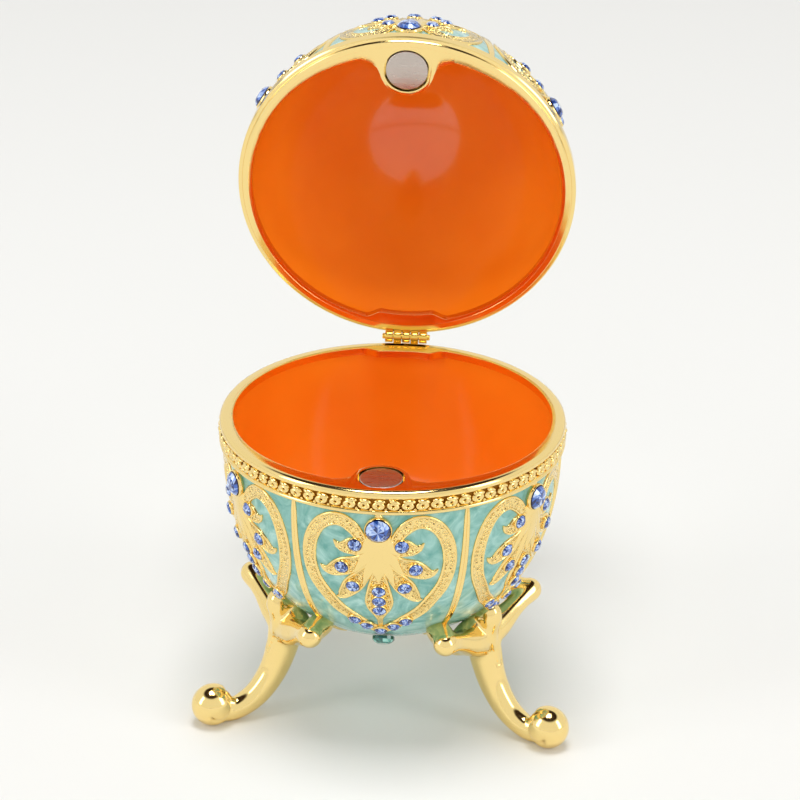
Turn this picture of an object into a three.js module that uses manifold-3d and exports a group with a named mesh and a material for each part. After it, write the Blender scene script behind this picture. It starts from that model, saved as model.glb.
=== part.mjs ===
// Jewelled egg trinket box: a cast, gold-plated egg on three scrolled legs, hinged at its seam.
// Units are millimetres, +Z is up, -Y is the front and the hinge is at the back.
// The box is modelled with its lid open, resting on the hinge's stop.
import * as THREE from 'three';
import Module from 'manifold-3d';
import { mergeVertices } from 'three/addons/utils/BufferGeometryUtils.js';

const wasm = await Module();
wasm.setup();

// ---------------------------------------------------------------- driving dimensions
const SEAM_HEIGHT = 53.7; // floor to the bowl's flat rim
const BODY_SHIFT = { x: 0.54, y: -15.31 }; // puts the open box's bounding box over the origin
const ENAMEL_DROP = 0.3; // enamel lies this far under the egg's nominal surface
const RELIEF_RISE = 0.25; // gold relief stands this far over it
const RELIEF_ROOT = 0.7; // how deep a relief's foot goes into the wall
const LONGEST_EDGE = 11.5; // of a face of the shells, which keeps its sag under 0.6

// An egg half: radius r(u) = waist (1 - u^power)^(1/power) (1 - taper u), u from 0 to 1 over its depth,
// below (or, for the lid, above) a short upright stretch at the rim.
const BOWL = { waist: 28.5, depth: 34.4, power: 2.33, taper: 0, upright: 3.9, wall: 1, sign: -1 };
const LID = { waist: 28.6, depth: 34, power: 2, taper: 0.12, upright: 1.5, wall: 1.3, sign: 1 };

// Rim mouldings as [distance from the rim's plane, radius] corners, from the flat rim outwards.
const BOWL_RIM = [[0, 29], [1.4, 29.3], [2, 30], [2.9, 30], [3.5, 29.3], [4.2, 29.3]];
const LID_RIM = [[0, 28.4], [0.3, 28.4], [0.3, 29.1], [2.2, 29.1]];

const LID_GAP = 0.3; // between the two rims when shut
const LID_OPEN_DEG = 83; // how far the lid leans back on its stop
const HINGE = { y: 29.9, z: 0.65, knuckle: 1.1, bore: 0.62, pin: 0.42, knuckles: 5, pitch: 1.5,
  width: 1.3, leafIn: 26, leafOut: 28.4, leafThick: 0.45, headRadius: 0.75, headLength: 0.35,
  clearance: 0.3, tabWidth: 10.6, tabDepth: 2.6 };

const MAGNET = { radius: 3.6, thickness: 1.7, pocketRadius: 3.95, pocketDepth: 2.1, collar: 0.75,
  tabThick: 2.9, tabHalfWidth: 6.3, bowlReach: 23.8, lidReach: 22.8 };

const PANELS = 6;
const PANEL_DEG = 360 / PANELS;

// The ornament of one panel, as degrees off the panel's middle and millimetres along the egg from
// where its enamel starts. Widths are half widths in millimetres.
const HEART_BAND = { half: 1.25, stations: 6,
  path: [[0, 28.2], [10.5, 23.9], [19.5, 18.4], [24.4, 11.6], [22.6, 5.5], [16, 2.2], [9.6, 2.8], [5, 6]] };
const LEAVES = [
  { path: [[4, 7], [9.5, 7.2], [14.8, 6.9]], half: [1.5, 1.6, 0] },
  { path: [[4, 9.5], [13.5, 11.5], [20.2, 12.3]], half: [1, 1.75, 0] },
  { path: [[3, 11.5], [10.5, 16], [15.7, 18.3]], half: [1, 1.7, 0] },
];
const FAN = { path: [[0, 4], [0, 12.5]], half: [2.1, 2.2] };
const PETAL = { path: [[0, 11.5], [0, 18.2], [0, 23], [0, 27.4]], half: [1, 2.35, 0.35, 0.3] };
const RIB = { path: [[30, 0], [30, 11], [30, 34]], half: [0.6, 0.75, 0.4] };
const BIG_STONE = { radius: 2, along: 3.15, boss: 2.6, bossRise: 0.5, seat: 0.65, girdle: 0.35,
  crown: 0.75, table: 1.15, sides: 8 };
const SMALL_STONE = { radius: 1.15, rise: 0.85, table: 0.6, seat: 0.4, waist: 0.45,
  row: [15.7, 18.1, 20.5] };

// A leg, in its own upright plane: reach out from the egg's axis and height over the seam.
const LEG_AZIMUTHS = { leg_right: 60, leg_back: 180, leg_left: -64 }; // soldered on by hand
const HEAD_TURNS = { leg_right: -3, leg_back: 0, leg_left: 4 }; // of the claws, round the egg's axis
const LEG_STEM = {
  path: [[18.9, -34.6], [19.4, -38], [20.2, -41.6], [21.9, -45.8], [24.8, -49.6], [28.6, -51.9],
    [32.7, -52.1]],
  radius: [3.1, 3, 2.75, 2.45, 2.2, 2.05, 1.6],
  sides: 7 };
const FOOT = { reach: 32.7, height: -50.2, radius: 3.8, curlStart: 2.7, halfWidth: 1.9, bevel: 1.5,
  flat: 0.3, steps: 11 };
// Claws spread from the leg's head over the egg: sideways travel, reach and height of each station.
const SIDE_CLAW = { path: [[0.6, 19.4, -37], [5, 20.3, -36.4], [9.2, 20.6, -34.2], [12, 20.8, -31.2],
  [13, 20.9, -29.6]], radius: [2.5, 1.9, 1.8, 2.1, 1.2], sides: 6 };
const TOP_CLAW = { path: [[0, 19.8, -36.5], [0, 20.9, -33.8], [0, 21.4, -31.2], [0, 21.2, -29.2]],
  radius: [2.8, 2.1, 2.1, 1.1], sides: 6 };
const LEG_GAP = 0.7; // from the egg's nominal surface to a leg, which clears the relief

// ---------------------------------------------------------------- solids and booleans
const rad = THREE.MathUtils.degToRad;

// Signed volume of a closed triangle mesh, used to point its faces outwards.
function signedVolume(points, corners) {
  const [a, b, c] = [new THREE.Vector3(), new THREE.Vector3(), new THREE.Vector3()];
  let volume = 0;
  for (let i = 0; i < corners.length; i += 3) {
    a.fromArray(points, corners[i] * 3);
    b.fromArray(points, corners[i + 1] * 3);
    c.fromArray(points, corners[i + 2] * 3);
    volume += a.dot(b.cross(c)) / 6;
  }
  return volume;
}

// A closed three.js geometry as a solid.
function solidOf(geometry) {
  const bare = geometry.clone();
  bare.deleteAttribute('normal');
  bare.deleteAttribute('uv');
  const merged = mergeVertices(bare, 1e-4);
  const points = new Float32Array(merged.attributes.position.array);
  let corners = Array.from(merged.index.array);
  const whole = [];
  for (let i = 0; i < corners.length; i += 3) {
    const [p, q, r] = corners.slice(i, i + 3);
    if (p !== q && q !== r && r !== p) whole.push(p, q, r);
  }
  corners = whole;
  if (signedVolume(points, corners) < 0) corners.reverse();
  return new wasm.Manifold(new wasm.Mesh({
    numProp: 3, vertProperties: points, triVerts: new Uint32Array(corners) }));
}

// A solid back as a three.js geometry with flat faces.
function geometryOf(solid) {
  const mesh = solid.getMesh();
  const geometry = new THREE.BufferGeometry();
  geometry.setAttribute('position', new THREE.BufferAttribute(new Float32Array(mesh.vertProperties), 3));
  geometry.setIndex(new THREE.BufferAttribute(new Uint32Array(mesh.triVerts), 1));
  const flat = geometry.toNonIndexed();
  flat.computeVertexNormals();
  return flat;
}

function joined(solids) {
  return solids.reduce((all, one) => all.add(one));
}

// A profile of [radius, height] points turned round the Z axis.
function turned(profile, facets) {
  const points = profile.map(([radius, height]) => new THREE.Vector2(radius, height));
  return solidOf(new THREE.LatheGeometry(points, facets).rotateX(Math.PI / 2));
}

// A flat outline in X and Y, raised from one height to another.
function raised(shape, bottom, top) {
  const geometry = new THREE.ExtrudeGeometry(shape, { depth: top - bottom, bevelEnabled: false,
    curveSegments: 8 });
  return solidOf(geometry.translate(0, 0, bottom));
}

function block(x0, x1, y0, y1, z0, z1) {
  const geometry = new THREE.BoxGeometry(x1 - x0, y1 - y0, z1 - z0);
  return solidOf(geometry.translate((x0 + x1) / 2, (y0 + y1) / 2, (z0 + z1) / 2));
}

// A round bar along X, centred at x.
function barAlongX(radius, length, x, y, z, sides) {
  const geometry = new THREE.CylinderGeometry(radius, radius, length, sides).rotateZ(Math.PI / 2);
  return solidOf(geometry.translate(x, y, z));
}

// Rings of points, each ring the same count, skinned into a closed solid with flat ends.
function skinned(rings) {
  const sides = rings[0].length;
  const points = rings.flat().flatMap((p) => [p.x, p.y, p.z]);
  const corners = [];
  for (let i = 0; i + 1 < rings.length; i += 1) {
    for (let j = 0; j < sides; j += 1) {
      const a = i * sides + j;
      const b = i * sides + (j + 1) % sides;
      corners.push(a, b, b + sides, a, b + sides, a + sides);
    }
  }
  const last = (rings.length - 1) * sides;
  for (let j = 1; j + 1 < sides; j += 1) {
    corners.push(0, j + 1, j, last, last + j, last + j + 1);
  }
  const geometry = new THREE.BufferGeometry();
  geometry.setAttribute('position', new THREE.Float32BufferAttribute(points, 3));
  geometry.setIndex(corners);
  return solidOf(geometry);
}

// A round bar of changing radius along a list of points, with its sections square to its path.
function taperedBar(points, radii, sides) {
  const rings = points.map((point, i) => {
    const ahead = points[Math.min(i + 1, points.length - 1)];
    const behind = points[Math.max(i - 1, 0)];
    const along = ahead.clone().sub(behind).normalize();
    const across = new THREE.Vector3(0, 1, 0);
    if (Math.abs(along.y) > 0.7) across.set(0, 0, 1);
    const second = new THREE.Vector3().crossVectors(along, across).normalize();
    const first = new THREE.Vector3().crossVectors(second, along);
    return Array.from({ length: sides }, (_, j) => {
      const turn = (2 * Math.PI * (j + 0.5)) / sides;
      return point.clone().addScaledVector(first, radii[i] * Math.cos(turn))
        .addScaledVector(second, radii[i] * Math.sin(turn));
    });
  });
  return skinned(rings);
}

// ---------------------------------------------------------------- the egg's surface
// The profile of a half as rows of radius, height over the rim's plane, distance along it from where
// the enamel starts (less than 0 on the upright stretch) and outward normal.
function eggProfile(half) {
  const steps = 240;
  const rows = [{ radius: half.waist, height: 0, along: -half.upright, out: 1, up: 0 }];
  for (let i = 0; i <= steps; i += 1) {
    const u = Math.sin((Math.PI / 2) * (i / steps));
    const round = Math.max(0, 1 - u ** half.power) ** (1 / half.power);
    const radius = half.waist * round * (1 - half.taper * u);
    const height = half.upright + half.depth * u;
    const last = rows.at(-1);
    const step = Math.hypot(radius - last.radius, height - last.height);
    rows.push({ radius, height, along: last.along + step });
  }
  for (let i = 1; i < rows.length; i += 1) {
    const next = rows[Math.min(i + 1, rows.length - 1)];
    const back = rows[i - 1];
    const run = Math.hypot(next.radius - back.radius, next.height - back.height);
    rows[i].out = (next.height - back.height) / run;
    rows[i].up = (back.radius - next.radius) / run;
  }
  Object.assign(rows.at(-1), { out: 0, up: 1 });
  return rows;
}

for (const half of [BOWL, LID]) {
  half.profile = eggProfile(half);
  half.arc = half.profile.at(-1).along;
}

// Radius and height of a half's surface at a distance along it, moved out by lift.
function profileAt(half, along, lift) {
  const found = half.profile.findIndex((row) => row.along >= along - 1e-9);
  const next = Math.max(1, found < 0 ? half.profile.length - 1 : found);
  const [a, b] = [half.profile[next - 1], half.profile[next]];
  const mix = THREE.MathUtils.clamp((along - a.along) / (b.along - a.along), 0, 1);
  const of = (key) => THREE.MathUtils.lerp(a[key], b[key], mix);
  return { radius: of('radius') + lift * of('out'), height: half.sign * (of('height') + lift * of('up')) };
}

function surfacePoint(half, degrees, along, lift) {
  const { radius, height } = profileAt(half, along, lift);
  return new THREE.Vector3(radius * Math.sin(rad(degrees)), -radius * Math.cos(rad(degrees)), height);
}

// Unit vectors of the surface: across it, along it and out of it.
function surfaceAxes(half, degrees, along) {
  const across = new THREE.Vector3(Math.cos(rad(degrees)), Math.sin(rad(degrees)), 0);
  const out = surfacePoint(half, degrees, along, 1).sub(surfacePoint(half, degrees, along, 0)).normalize();
  return { across, along: new THREE.Vector3().crossVectors(out, across), out };
}

// ---------------------------------------------------------------- relief, laid out flat
// A half is built as a flat sheet, X in degrees round the egg, Y along it and Z the lift off it, and
// is then wrapped round the egg.
const SHEET = { from: -PANEL_DEG / 2, to: 360 - PANEL_DEG / 2 };

function degreesPerMm(half, along) {
  return 180 / (Math.PI * Math.max(profileAt(half, along, 0).radius, 1));
}

// A band that follows a path of [degrees, along] stations with half widths in millimetres.
function flatBand(half, path, widths, turn, mirror, rise) {
  const sides = [-1, 1].map((side) => path.flatMap(([degrees, along], i) => {
    const ahead = path[Math.min(i + 1, path.length - 1)];
    const behind = path[Math.max(i - 1, 0)];
    const scale = degreesPerMm(half, along);
    const run = new THREE.Vector2((ahead[0] - behind[0]) / scale, ahead[1] - behind[1]).normalize();
    if (widths[i] === 0 && side < 0) return [];
    const x = turn + mirror * (degrees + side * run.y * widths[i] * scale);
    return [new THREE.Vector2(x, along - side * run.x * widths[i])];
  }));
  const shape = new THREE.Shape([...sides[0], ...sides[1].reverse()]);
  return raised(shape, -RELIEF_ROOT, rise);
}

// Even stations along a smooth curve through a path's points.
function smoothPath(path, stations) {
  const mmPerDegree = 0.5;
  const points = path.map(([degrees, along]) => new THREE.Vector3(degrees * mmPerDegree, along, 0));
  return new THREE.CatmullRomCurve3(points).getSpacedPoints(stations).map((p) => [p.x / mmPerDegree, p.y]);
}

// A stone's round seat: a disc that stands over the gold round it.
function flatBoss(half, turn) {
  const scale = degreesPerMm(half, BIG_STONE.along);
  const points = Array.from({ length: BIG_STONE.sides }, (_, j) => {
    const angle = (2 * Math.PI * (j + 0.5)) / BIG_STONE.sides;
    return new THREE.Vector2(turn + BIG_STONE.boss * Math.sin(angle) * scale,
      BIG_STONE.along + BIG_STONE.boss * Math.cos(angle));
  });
  return raised(new THREE.Shape(points), -RELIEF_ROOT, BIG_STONE.bossRise);
}

// The gold ornament of one panel: heart scrolls, palmette and stone seat.
function flatPanel(half, turn) {
  const heart = smoothPath(HEART_BAND.path, HEART_BAND.stations);
  const heartHalf = heart.map(() => HEART_BAND.half);
  const bands = [FAN, PETAL].map((band) => flatBand(half, band.path, band.half, turn, 1, RELIEF_RISE));
  for (const mirror of [-1, 1]) {
    bands.push(flatBand(half, heart, heartHalf, turn, mirror, RELIEF_RISE));
    for (const leaf of LEAVES) bands.push(flatBand(half, leaf.path, leaf.half, turn, mirror, RELIEF_RISE));
  }
  return joined([...bands, flatBoss(half, turn)]);
}

// The plain casting: its section in Y and Z, from the rim's moulding to the pole, drawn out along X.
function flatCasting(half, rim) {
  const inner = -ENAMEL_DROP - half.wall;
  const section = rim.map(([drop, radius]) => [drop - half.upright, radius - half.waist]);
  section.push([section.at(-1)[0], -ENAMEL_DROP], [half.arc, -ENAMEL_DROP], [half.arc, inner],
    [-half.upright, inner]);
  const shape = new THREE.Shape(section.map(([y, z]) => new THREE.Vector2(y, z)));
  const geometry = new THREE.ExtrudeGeometry(shape, { depth: SHEET.to - SHEET.from, bevelEnabled: false });
  const [x, y, z] = [new THREE.Vector3(1, 0, 0), new THREE.Vector3(0, 1, 0), new THREE.Vector3(0, 0, 1)];
  return solidOf(geometry.applyMatrix4(new THREE.Matrix4().makeBasis(y, z, x)).translate(SHEET.from, 0, 0));
}

function flatSheet(half, rim) {
  const parts = [flatCasting(half, rim)];
  for (let i = 0; i < PANELS; i += 1) parts.push(flatPanel(half, i * PANEL_DEG));
  for (let i = -1; i < PANELS; i += 1) {
    parts.push(flatBand(half, RIB.path, RIB.half, i * PANEL_DEG, 1, RELIEF_RISE));
  }
  return joined(parts).intersect(block(SHEET.from, SHEET.to, -half.upright - 1, half.arc + 1, -10, 10));
}

// ---------------------------------------------------------------- wrapping a sheet round the egg
// The faces of a sheet, with its two meeting ends and its pole end taken off, are split and turned
// until no edge is longer than LONGEST_EDGE as it lies on the egg, so that they follow the curve.
function wrapped(half, sheet) {
  const mesh = sheet.getMesh();
  const points = [];
  for (let i = 0; i < mesh.vertProperties.length; i += 3) {
    points.push(new THREE.Vector3().fromArray(mesh.vertProperties, i));
  }
  const near = (value, target) => Math.abs(value - target) < 1e-3;
  let faces = [];
  for (let i = 0; i < mesh.triVerts.length; i += 3) {
    const face = Array.from(mesh.triVerts.slice(i, i + 3));
    const all = (test) => face.every((corner) => test(points[corner]));
    const meeting = all((p) => near(p.x, SHEET.from)) || all((p) => near(p.x, SHEET.to));
    const pole = all((p) => near(p.y, half.arc));
    if (!meeting && !pole) faces.push(face);
  }
  let again = true;
  while (again) {
    turnEdges(half, points, faces);
    again = splitLongEdges(half, points, faces);
  }
  const geometry = new THREE.BufferGeometry();
  const placed = points.flatMap((p) => surfacePoint(half, p.x, p.y, p.z).toArray());
  geometry.setAttribute('position', new THREE.Float32BufferAttribute(placed, 3));
  geometry.setIndex(faces.flat());
  return solidOf(geometry);
}

// A sheet point in millimetres, at the egg's width at the given distance along it.
function unrolled(half, point, along) {
  return new THREE.Vector3(point.x / degreesPerMm(half, along), point.y, point.z);
}

// Each edge of the faces, as the faces on its two sides and the corner of each that faces it.
function edgesOf(faces) {
  const edges = new Map();
  faces.forEach((face, index) => {
    for (let k = 0; k < 3; k += 1) {
      const [a, b] = [face[k], face[(k + 1) % 3]];
      const key = a < b ? `${a},${b}` : `${b},${a}`;
      if (!edges.has(key)) edges.set(key, []);
      edges.get(key).push({ index, a, b, apex: face[(k + 2) % 3] });
    }
  });
  return edges;
}

function angleAt(apex, p, q) {
  return p.clone().sub(apex).angleTo(q.clone().sub(apex));
}

// Turns an edge between two level faces wherever the other diagonal makes rounder faces.
function turnEdges(half, points, faces) {
  const normalOf = (a, b, c) => b.clone().sub(a).cross(c.clone().sub(a));
  for (let pass = 0; pass < 30; pass += 1) {
    const touched = new Set();
    for (const sides of edgesOf(faces).values()) {
      if (sides.length !== 2 || sides.some((side) => touched.has(side.index))) continue;
      const [left, right] = sides;
      const corners = [left.a, left.b, left.apex, right.apex].map((i) => points[i]);
      const along = corners.reduce((sum, p) => sum + p.y, 0) / corners.length;
      const [a, b, c, d] = corners.map((p) => unrolled(half, p, along));
      const [faceL, faceR] = [normalOf(a, b, c), normalOf(b, a, d)];
      faceL.normalize();
      const level = faceL.dot(faceR.normalize()) > 0.9999;
      if (!level || angleAt(c, a, b) + angleAt(d, a, b) < Math.PI + 0.01) continue;
      if (Math.min(normalOf(c, d, b).dot(faceL), normalOf(d, c, a).dot(faceL)) < 1e-3) continue;
      faces[left.index] = [left.apex, right.apex, left.b];
      faces[right.index] = [right.apex, left.apex, left.a];
      touched.add(left.index).add(right.index);
    }
    if (touched.size === 0) return;
  }
}

// Puts a corner in the middle of each edge that is too long, and says whether there was one.
function splitLongEdges(half, points, faces) {
  const long = [];
  for (const sides of edgesOf(faces).values()) {
    const [p, q] = [points[sides[0].a], points[sides[0].b]];
    const along = (p.y + q.y) / 2;
    const length = unrolled(half, p, along).distanceTo(unrolled(half, q, along));
    if (length > LONGEST_EDGE) long.push({ sides, length });
  }
  long.sort((one, other) => other.length - one.length);
  const touched = new Set();
  for (const { sides } of long) {
    if (sides.some((side) => touched.has(side.index))) continue;
    const middle = points.length;
    points.push(points[sides[0].a].clone().lerp(points[sides[0].b], 0.5));
    for (const { index, a, b, apex } of sides) {
      faces[index] = [a, middle, apex];
      touched.add(index).add(faces.length);
      faces.push([middle, b, apex]);
    }
  }
  return long.length > 0;
}

// ---------------------------------------------------------------- shells
// The tongue inside the front of a rim that carries a magnet, with its top at height 0.
function magnetTongue(reach) {
  const round = MAGNET.pocketRadius + MAGNET.collar;
  const shape = new THREE.Shape();
  shape.moveTo(-MAGNET.tabHalfWidth, -27.2);
  shape.lineTo(-round, -reach - 0.6);
  shape.absarc(0, -reach, round, Math.PI, 0, true);
  shape.lineTo(MAGNET.tabHalfWidth, -27.2);
  return raised(shape, -MAGNET.tabThick, 0);
}

function magnetPocket(reach) {
  const circle = new THREE.Shape().absarc(0, -reach, MAGNET.pocketRadius, 0, 2 * Math.PI);
  return raised(circle, -MAGNET.pocketDepth, 1);
}

// The thicker stretch of rim that a hinge leaf is let into, with its top at height 0.
function hingeTab() {
  const wide = HINGE.tabWidth / 2;
  const shape = new THREE.Shape([[-wide, 27.8], [-wide + 0.8, HINGE.leafIn], [wide - 0.8, HINGE.leafIn],
    [wide, 27.8]].map(([x, y]) => new THREE.Vector2(x, y)));
  return raised(shape, -HINGE.tabDepth, 0);
}

const hingeHalfWidth = (HINGE.pitch * HINGE.knuckles) / 2;
const hingeRoom = barAlongX(HINGE.knuckle + HINGE.clearance, 2 * hingeHalfWidth + 1.8, 0, HINGE.y,
  HINGE.z, 12);

// Room for a hinge leaf in a rim, from one height to another.
function leafRoom(bottom, top) {
  const reach = hingeHalfWidth + HINGE.clearance;
  return block(-reach, reach, HINGE.leafIn - 0.8, HINGE.y + 1, bottom, top);
}

function bowlShell() {
  const cast = wrapped(BOWL, flatSheet(BOWL, BOWL_RIM));
  return joined([cast, magnetTongue(MAGNET.bowlReach), hingeTab()])
    .subtract(magnetPocket(MAGNET.bowlReach))
    .subtract(leafRoom(HINGE.z - HINGE.knuckle - HINGE.clearance, 1)).subtract(hingeRoom);
}

// The lid stands on its own ring plane, at height 0, and its dome goes up.
function lidShell() {
  const cast = wrapped(LID, flatSheet(LID, LID_RIM));
  const tongues = joined([magnetTongue(MAGNET.lidReach), hingeTab()]);
  return joined([cast, upended(tongues)]).subtract(upended(magnetPocket(MAGNET.lidReach)))
    .subtract(leafRoom(-1, HINGE.z - LID_GAP + HINGE.leafThick + HINGE.clearance))
    .subtract(hingeRoom.translate([0, 0, -LID_GAP]));
}

// A solid turned upside down about its height 0, still facing the same way.
function upended(solid) {
  return solid.mirror([0, 0, 1]);
}

// ---------------------------------------------------------------- hinge
// One leaf: a plate let into the rim, with a tongue rolled into each of its own knuckles.
function hingeLeaf(bottom, own) {
  const top = bottom + HINGE.leafThick;
  const width = hingeHalfWidth - (HINGE.pitch - HINGE.width) / 2;
  const plate = block(-width, width, HINGE.leafIn - 0.5, HINGE.leafOut, bottom, top);
  const rolls = own.map((index) => {
    const x = (index - (HINGE.knuckles - 1) / 2) * HINGE.pitch;
    const roll = barAlongX(HINGE.knuckle, HINGE.width, x, HINGE.y, HINGE.z, 10);
    const [from, to] = [x - HINGE.width / 2, x + HINGE.width / 2];
    const tongue = block(from, to, HINGE.leafOut - 0.2, HINGE.y, bottom, top);
    return roll.add(tongue);
  });
  const bore = barAlongX(HINGE.bore, 2 * hingeHalfWidth + 2, 0, HINGE.y, HINGE.z, 6);
  return joined([plate, ...rolls]).subtract(bore);
}

function hingePin() {
  const reach = hingeHalfWidth + 0.1;
  const heads = [-1, 1].map((side) => barAlongX(HINGE.headRadius, HINGE.headLength,
    side * (reach + HINGE.headLength / 2 - 0.02), HINGE.y, HINGE.z, 8));
  return joined([barAlongX(HINGE.pin, 2 * reach, 0, HINGE.y, HINGE.z, 8), ...heads]);
}

function magnet(reach, top) {
  const { radius, thickness } = MAGNET;
  const disc = new THREE.CylinderGeometry(radius, radius, thickness, 16).rotateX(Math.PI / 2);
  return solidOf(disc.translate(0, -reach, top - thickness / 2));
}

// ---------------------------------------------------------------- stones
// A cut stone standing on the egg: rings of [radius, lift] from its flat back to its table.
function cutStone(half, turn, along, rings, sides) {
  const { across, along: up, out } = surfaceAxes(half, turn, along);
  const base = surfacePoint(half, turn, along, 0);
  return skinned(rings.map(([radius, lift]) => Array.from({ length: sides }, (_, j) => {
    const angle = (2 * Math.PI * j) / sides;
    return base.clone().addScaledVector(out, lift).addScaledVector(across, radius * Math.sin(angle))
      .addScaledVector(up, radius * Math.cos(angle));
  })));
}

function bigStone(half, turn) {
  const { radius, seat, girdle, crown, table, sides } = BIG_STONE;
  const rings = [[radius * 0.9, seat], [radius, seat + girdle], [table, seat + girdle + crown]];
  return cutStone(half, turn, BIG_STONE.along, rings, sides);
}

// Three small stones that touch, down the middle petal: a bar that narrows where they meet.
function stoneRow(half, turn) {
  const { radius, seat, rise, table, waist, row } = SMALL_STONE;
  const stations = [[row[0] - radius, waist]];
  for (const along of row) stations.push([along, 1], [along + radius, waist]);
  return skinned(stations.map(([along, width]) => {
    const { across, out } = surfaceAxes(half, turn, along);
    const corners = [[-radius, seat], [radius, seat], [table, seat + rise], [-table, seat + rise]];
    return corners.map(([side, lift]) => surfacePoint(half, turn, along, 0)
      .addScaledVector(across, side * width).addScaledVector(out, lift));
  }));
}

// ---------------------------------------------------------------- legs
// Rows of [radius, height] from the enamel's start to the pole at one lift.
function eggRows(half, lift) {
  const rows = 8;
  return Array.from({ length: rows + 1 }, (_, i) => {
    const { radius, height } = profileAt(half, half.arc * (i / rows), lift);
    return [i === rows ? 0 : radius, height];
  });
}

// The scrolled foot: a spiral outline with rounded flanks, its eye level with the leg's plane.
function footScroll() {
  const { bevel, steps } = FOOT;
  const shape = new THREE.Shape(Array.from({ length: steps + 1 }, (_, i) => {
    const turn = (i / steps) * 1.75 * Math.PI;
    const curl = THREE.MathUtils.smoothstep(i / steps, 0.4, 1.1);
    const radius = THREE.MathUtils.lerp(FOOT.radius, FOOT.curlStart, curl);
    return new THREE.Vector2(radius * Math.sin(turn), -radius * Math.cos(turn));
  }));
  const geometry = new THREE.ExtrudeGeometry(shape, { depth: 2 * FOOT.halfWidth, bevelThickness: bevel,
    bevelSize: bevel, bevelOffset: -bevel, bevelSegments: 1 });
  geometry.translate(0, 0, -FOOT.halfWidth).rotateX(Math.PI / 2);
  return solidOf(geometry.translate(FOOT.reach, 0, FOOT.height));
}

function leg(headTurn) {
  const inPlane = ([reach, height]) => new THREE.Vector3(reach, 0, height);
  const sideways = ([side, reach, height]) => new THREE.Vector3(reach, side, height);
  const mirrored = ([side, reach, height]) => new THREE.Vector3(reach, -side, height);
  const claws = joined([
    taperedBar(SIDE_CLAW.path.map(sideways), SIDE_CLAW.radius, SIDE_CLAW.sides),
    taperedBar(SIDE_CLAW.path.map(mirrored), SIDE_CLAW.radius, SIDE_CLAW.sides),
    taperedBar(TOP_CLAW.path.map(sideways), TOP_CLAW.radius, TOP_CLAW.sides),
  ]).rotate([0, 0, headTurn]);
  const stem = taperedBar(LEG_STEM.path.map(inPlane), LEG_STEM.radius, LEG_STEM.sides);
  const egg = turned([[0, 0], ...eggRows(BOWL, LEG_GAP)], 24);
  const floor = FOOT.height - FOOT.radius + FOOT.flat;
  const under = block(-60, 60, -60, 60, floor - 20, floor);
  return joined([stem, claws, footScroll()]).subtract(egg).subtract(under);
}

// ---------------------------------------------------------------- the scene graph
const GOLD = { color: 0xe0b04a, roughness: 0.18, metalness: 1 };
const ENAMELLED_GOLD = { color: 0x8cc4b8, roughness: 0.2, metalness: 0.3 };
const BRASS = { color: 0xd9a93c, roughness: 0.3, metalness: 1 };
const NICKEL = { color: 0xb9b0a8, roughness: 0.35, metalness: 1 };
const SAPPHIRE = { color: 0x4668c4, roughness: 0.05, metalness: 0 };

function named(name, solid, look) {
  const mesh = new THREE.Mesh(geometryOf(solid), new THREE.MeshStandardMaterial(look));
  mesh.name = name;
  return mesh;
}

function stones(half, prefix) {
  const meshes = [];
  for (let i = 0; i < PANELS; i += 1) {
    meshes.push(named(`${prefix}_stone_${i + 1}`, bigStone(half, i * PANEL_DEG), SAPPHIRE));
    meshes.push(named(`${prefix}_stone_row_${i + 1}`, stoneRow(half, i * PANEL_DEG), SAPPHIRE));
  }
  return meshes;
}

const box = new THREE.Group();
box.position.set(BODY_SHIFT.x, BODY_SHIFT.y, SEAM_HEIGHT);
box.add(named('bowl_shell', bowlShell(), ENAMELLED_GOLD));
for (const [name, azimuth] of Object.entries(LEG_AZIMUTHS)) {
  const mesh = named(name, leg(HEAD_TURNS[name]), GOLD);
  mesh.rotation.z = rad(azimuth - 90);
  box.add(mesh);
}
box.add(named('hinge_leaf_bowl', hingeLeaf(HINGE.z - HINGE.knuckle, [1, 3]), BRASS));
box.add(named('hinge_pin', hingePin(), BRASS));
box.add(named('magnet_bowl', magnet(MAGNET.bowlReach, -0.1), NICKEL));
box.add(...stones(BOWL, 'bowl'));

// The lid turns about the hinge's axis: shut, its ring plane lies just over the bowl's rim.
const swing = new THREE.Group();
swing.position.set(0, HINGE.y, HINGE.z);
swing.rotation.x = rad(-LID_OPEN_DEG);
const lid = new THREE.Group();
lid.position.set(0, -HINGE.y, LID_GAP - HINGE.z);
swing.add(lid);
box.add(swing);
lid.add(named('lid_shell', lidShell(), ENAMELLED_GOLD));
const lidLeaf = named('hinge_leaf_lid', hingeLeaf(HINGE.z - HINGE.leafThick / 2 + 0.15, [0, 2, 4]), BRASS);
lidLeaf.position.z = -LID_GAP;
lid.add(lidLeaf);
lid.add(named('magnet_lid', magnet(MAGNET.lidReach, MAGNET.thickness + 0.1), NICKEL));
lid.add(...stones(LID, 'lid'));

export default box;
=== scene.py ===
"""Jewelled egg trinket box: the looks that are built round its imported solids.

A cast, gold-plated egg in two hinged halves stands open on three scrolled legs. Its outside is
filled with cloudy aqua enamel between raised gold, its inside with orange enamel, and it is set
with foil-backed blue stones. Sizes are in millimetres and become metres when a piece is placed.
"""

import logging
import math
import random
from bisect import bisect_left
from contextlib import contextmanager
from dataclasses import dataclass, field
from enum import Enum, IntEnum
from typing import Callable, Iterator, Sequence

import bmesh
import bpy
from mathutils import Matrix, Vector


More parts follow.
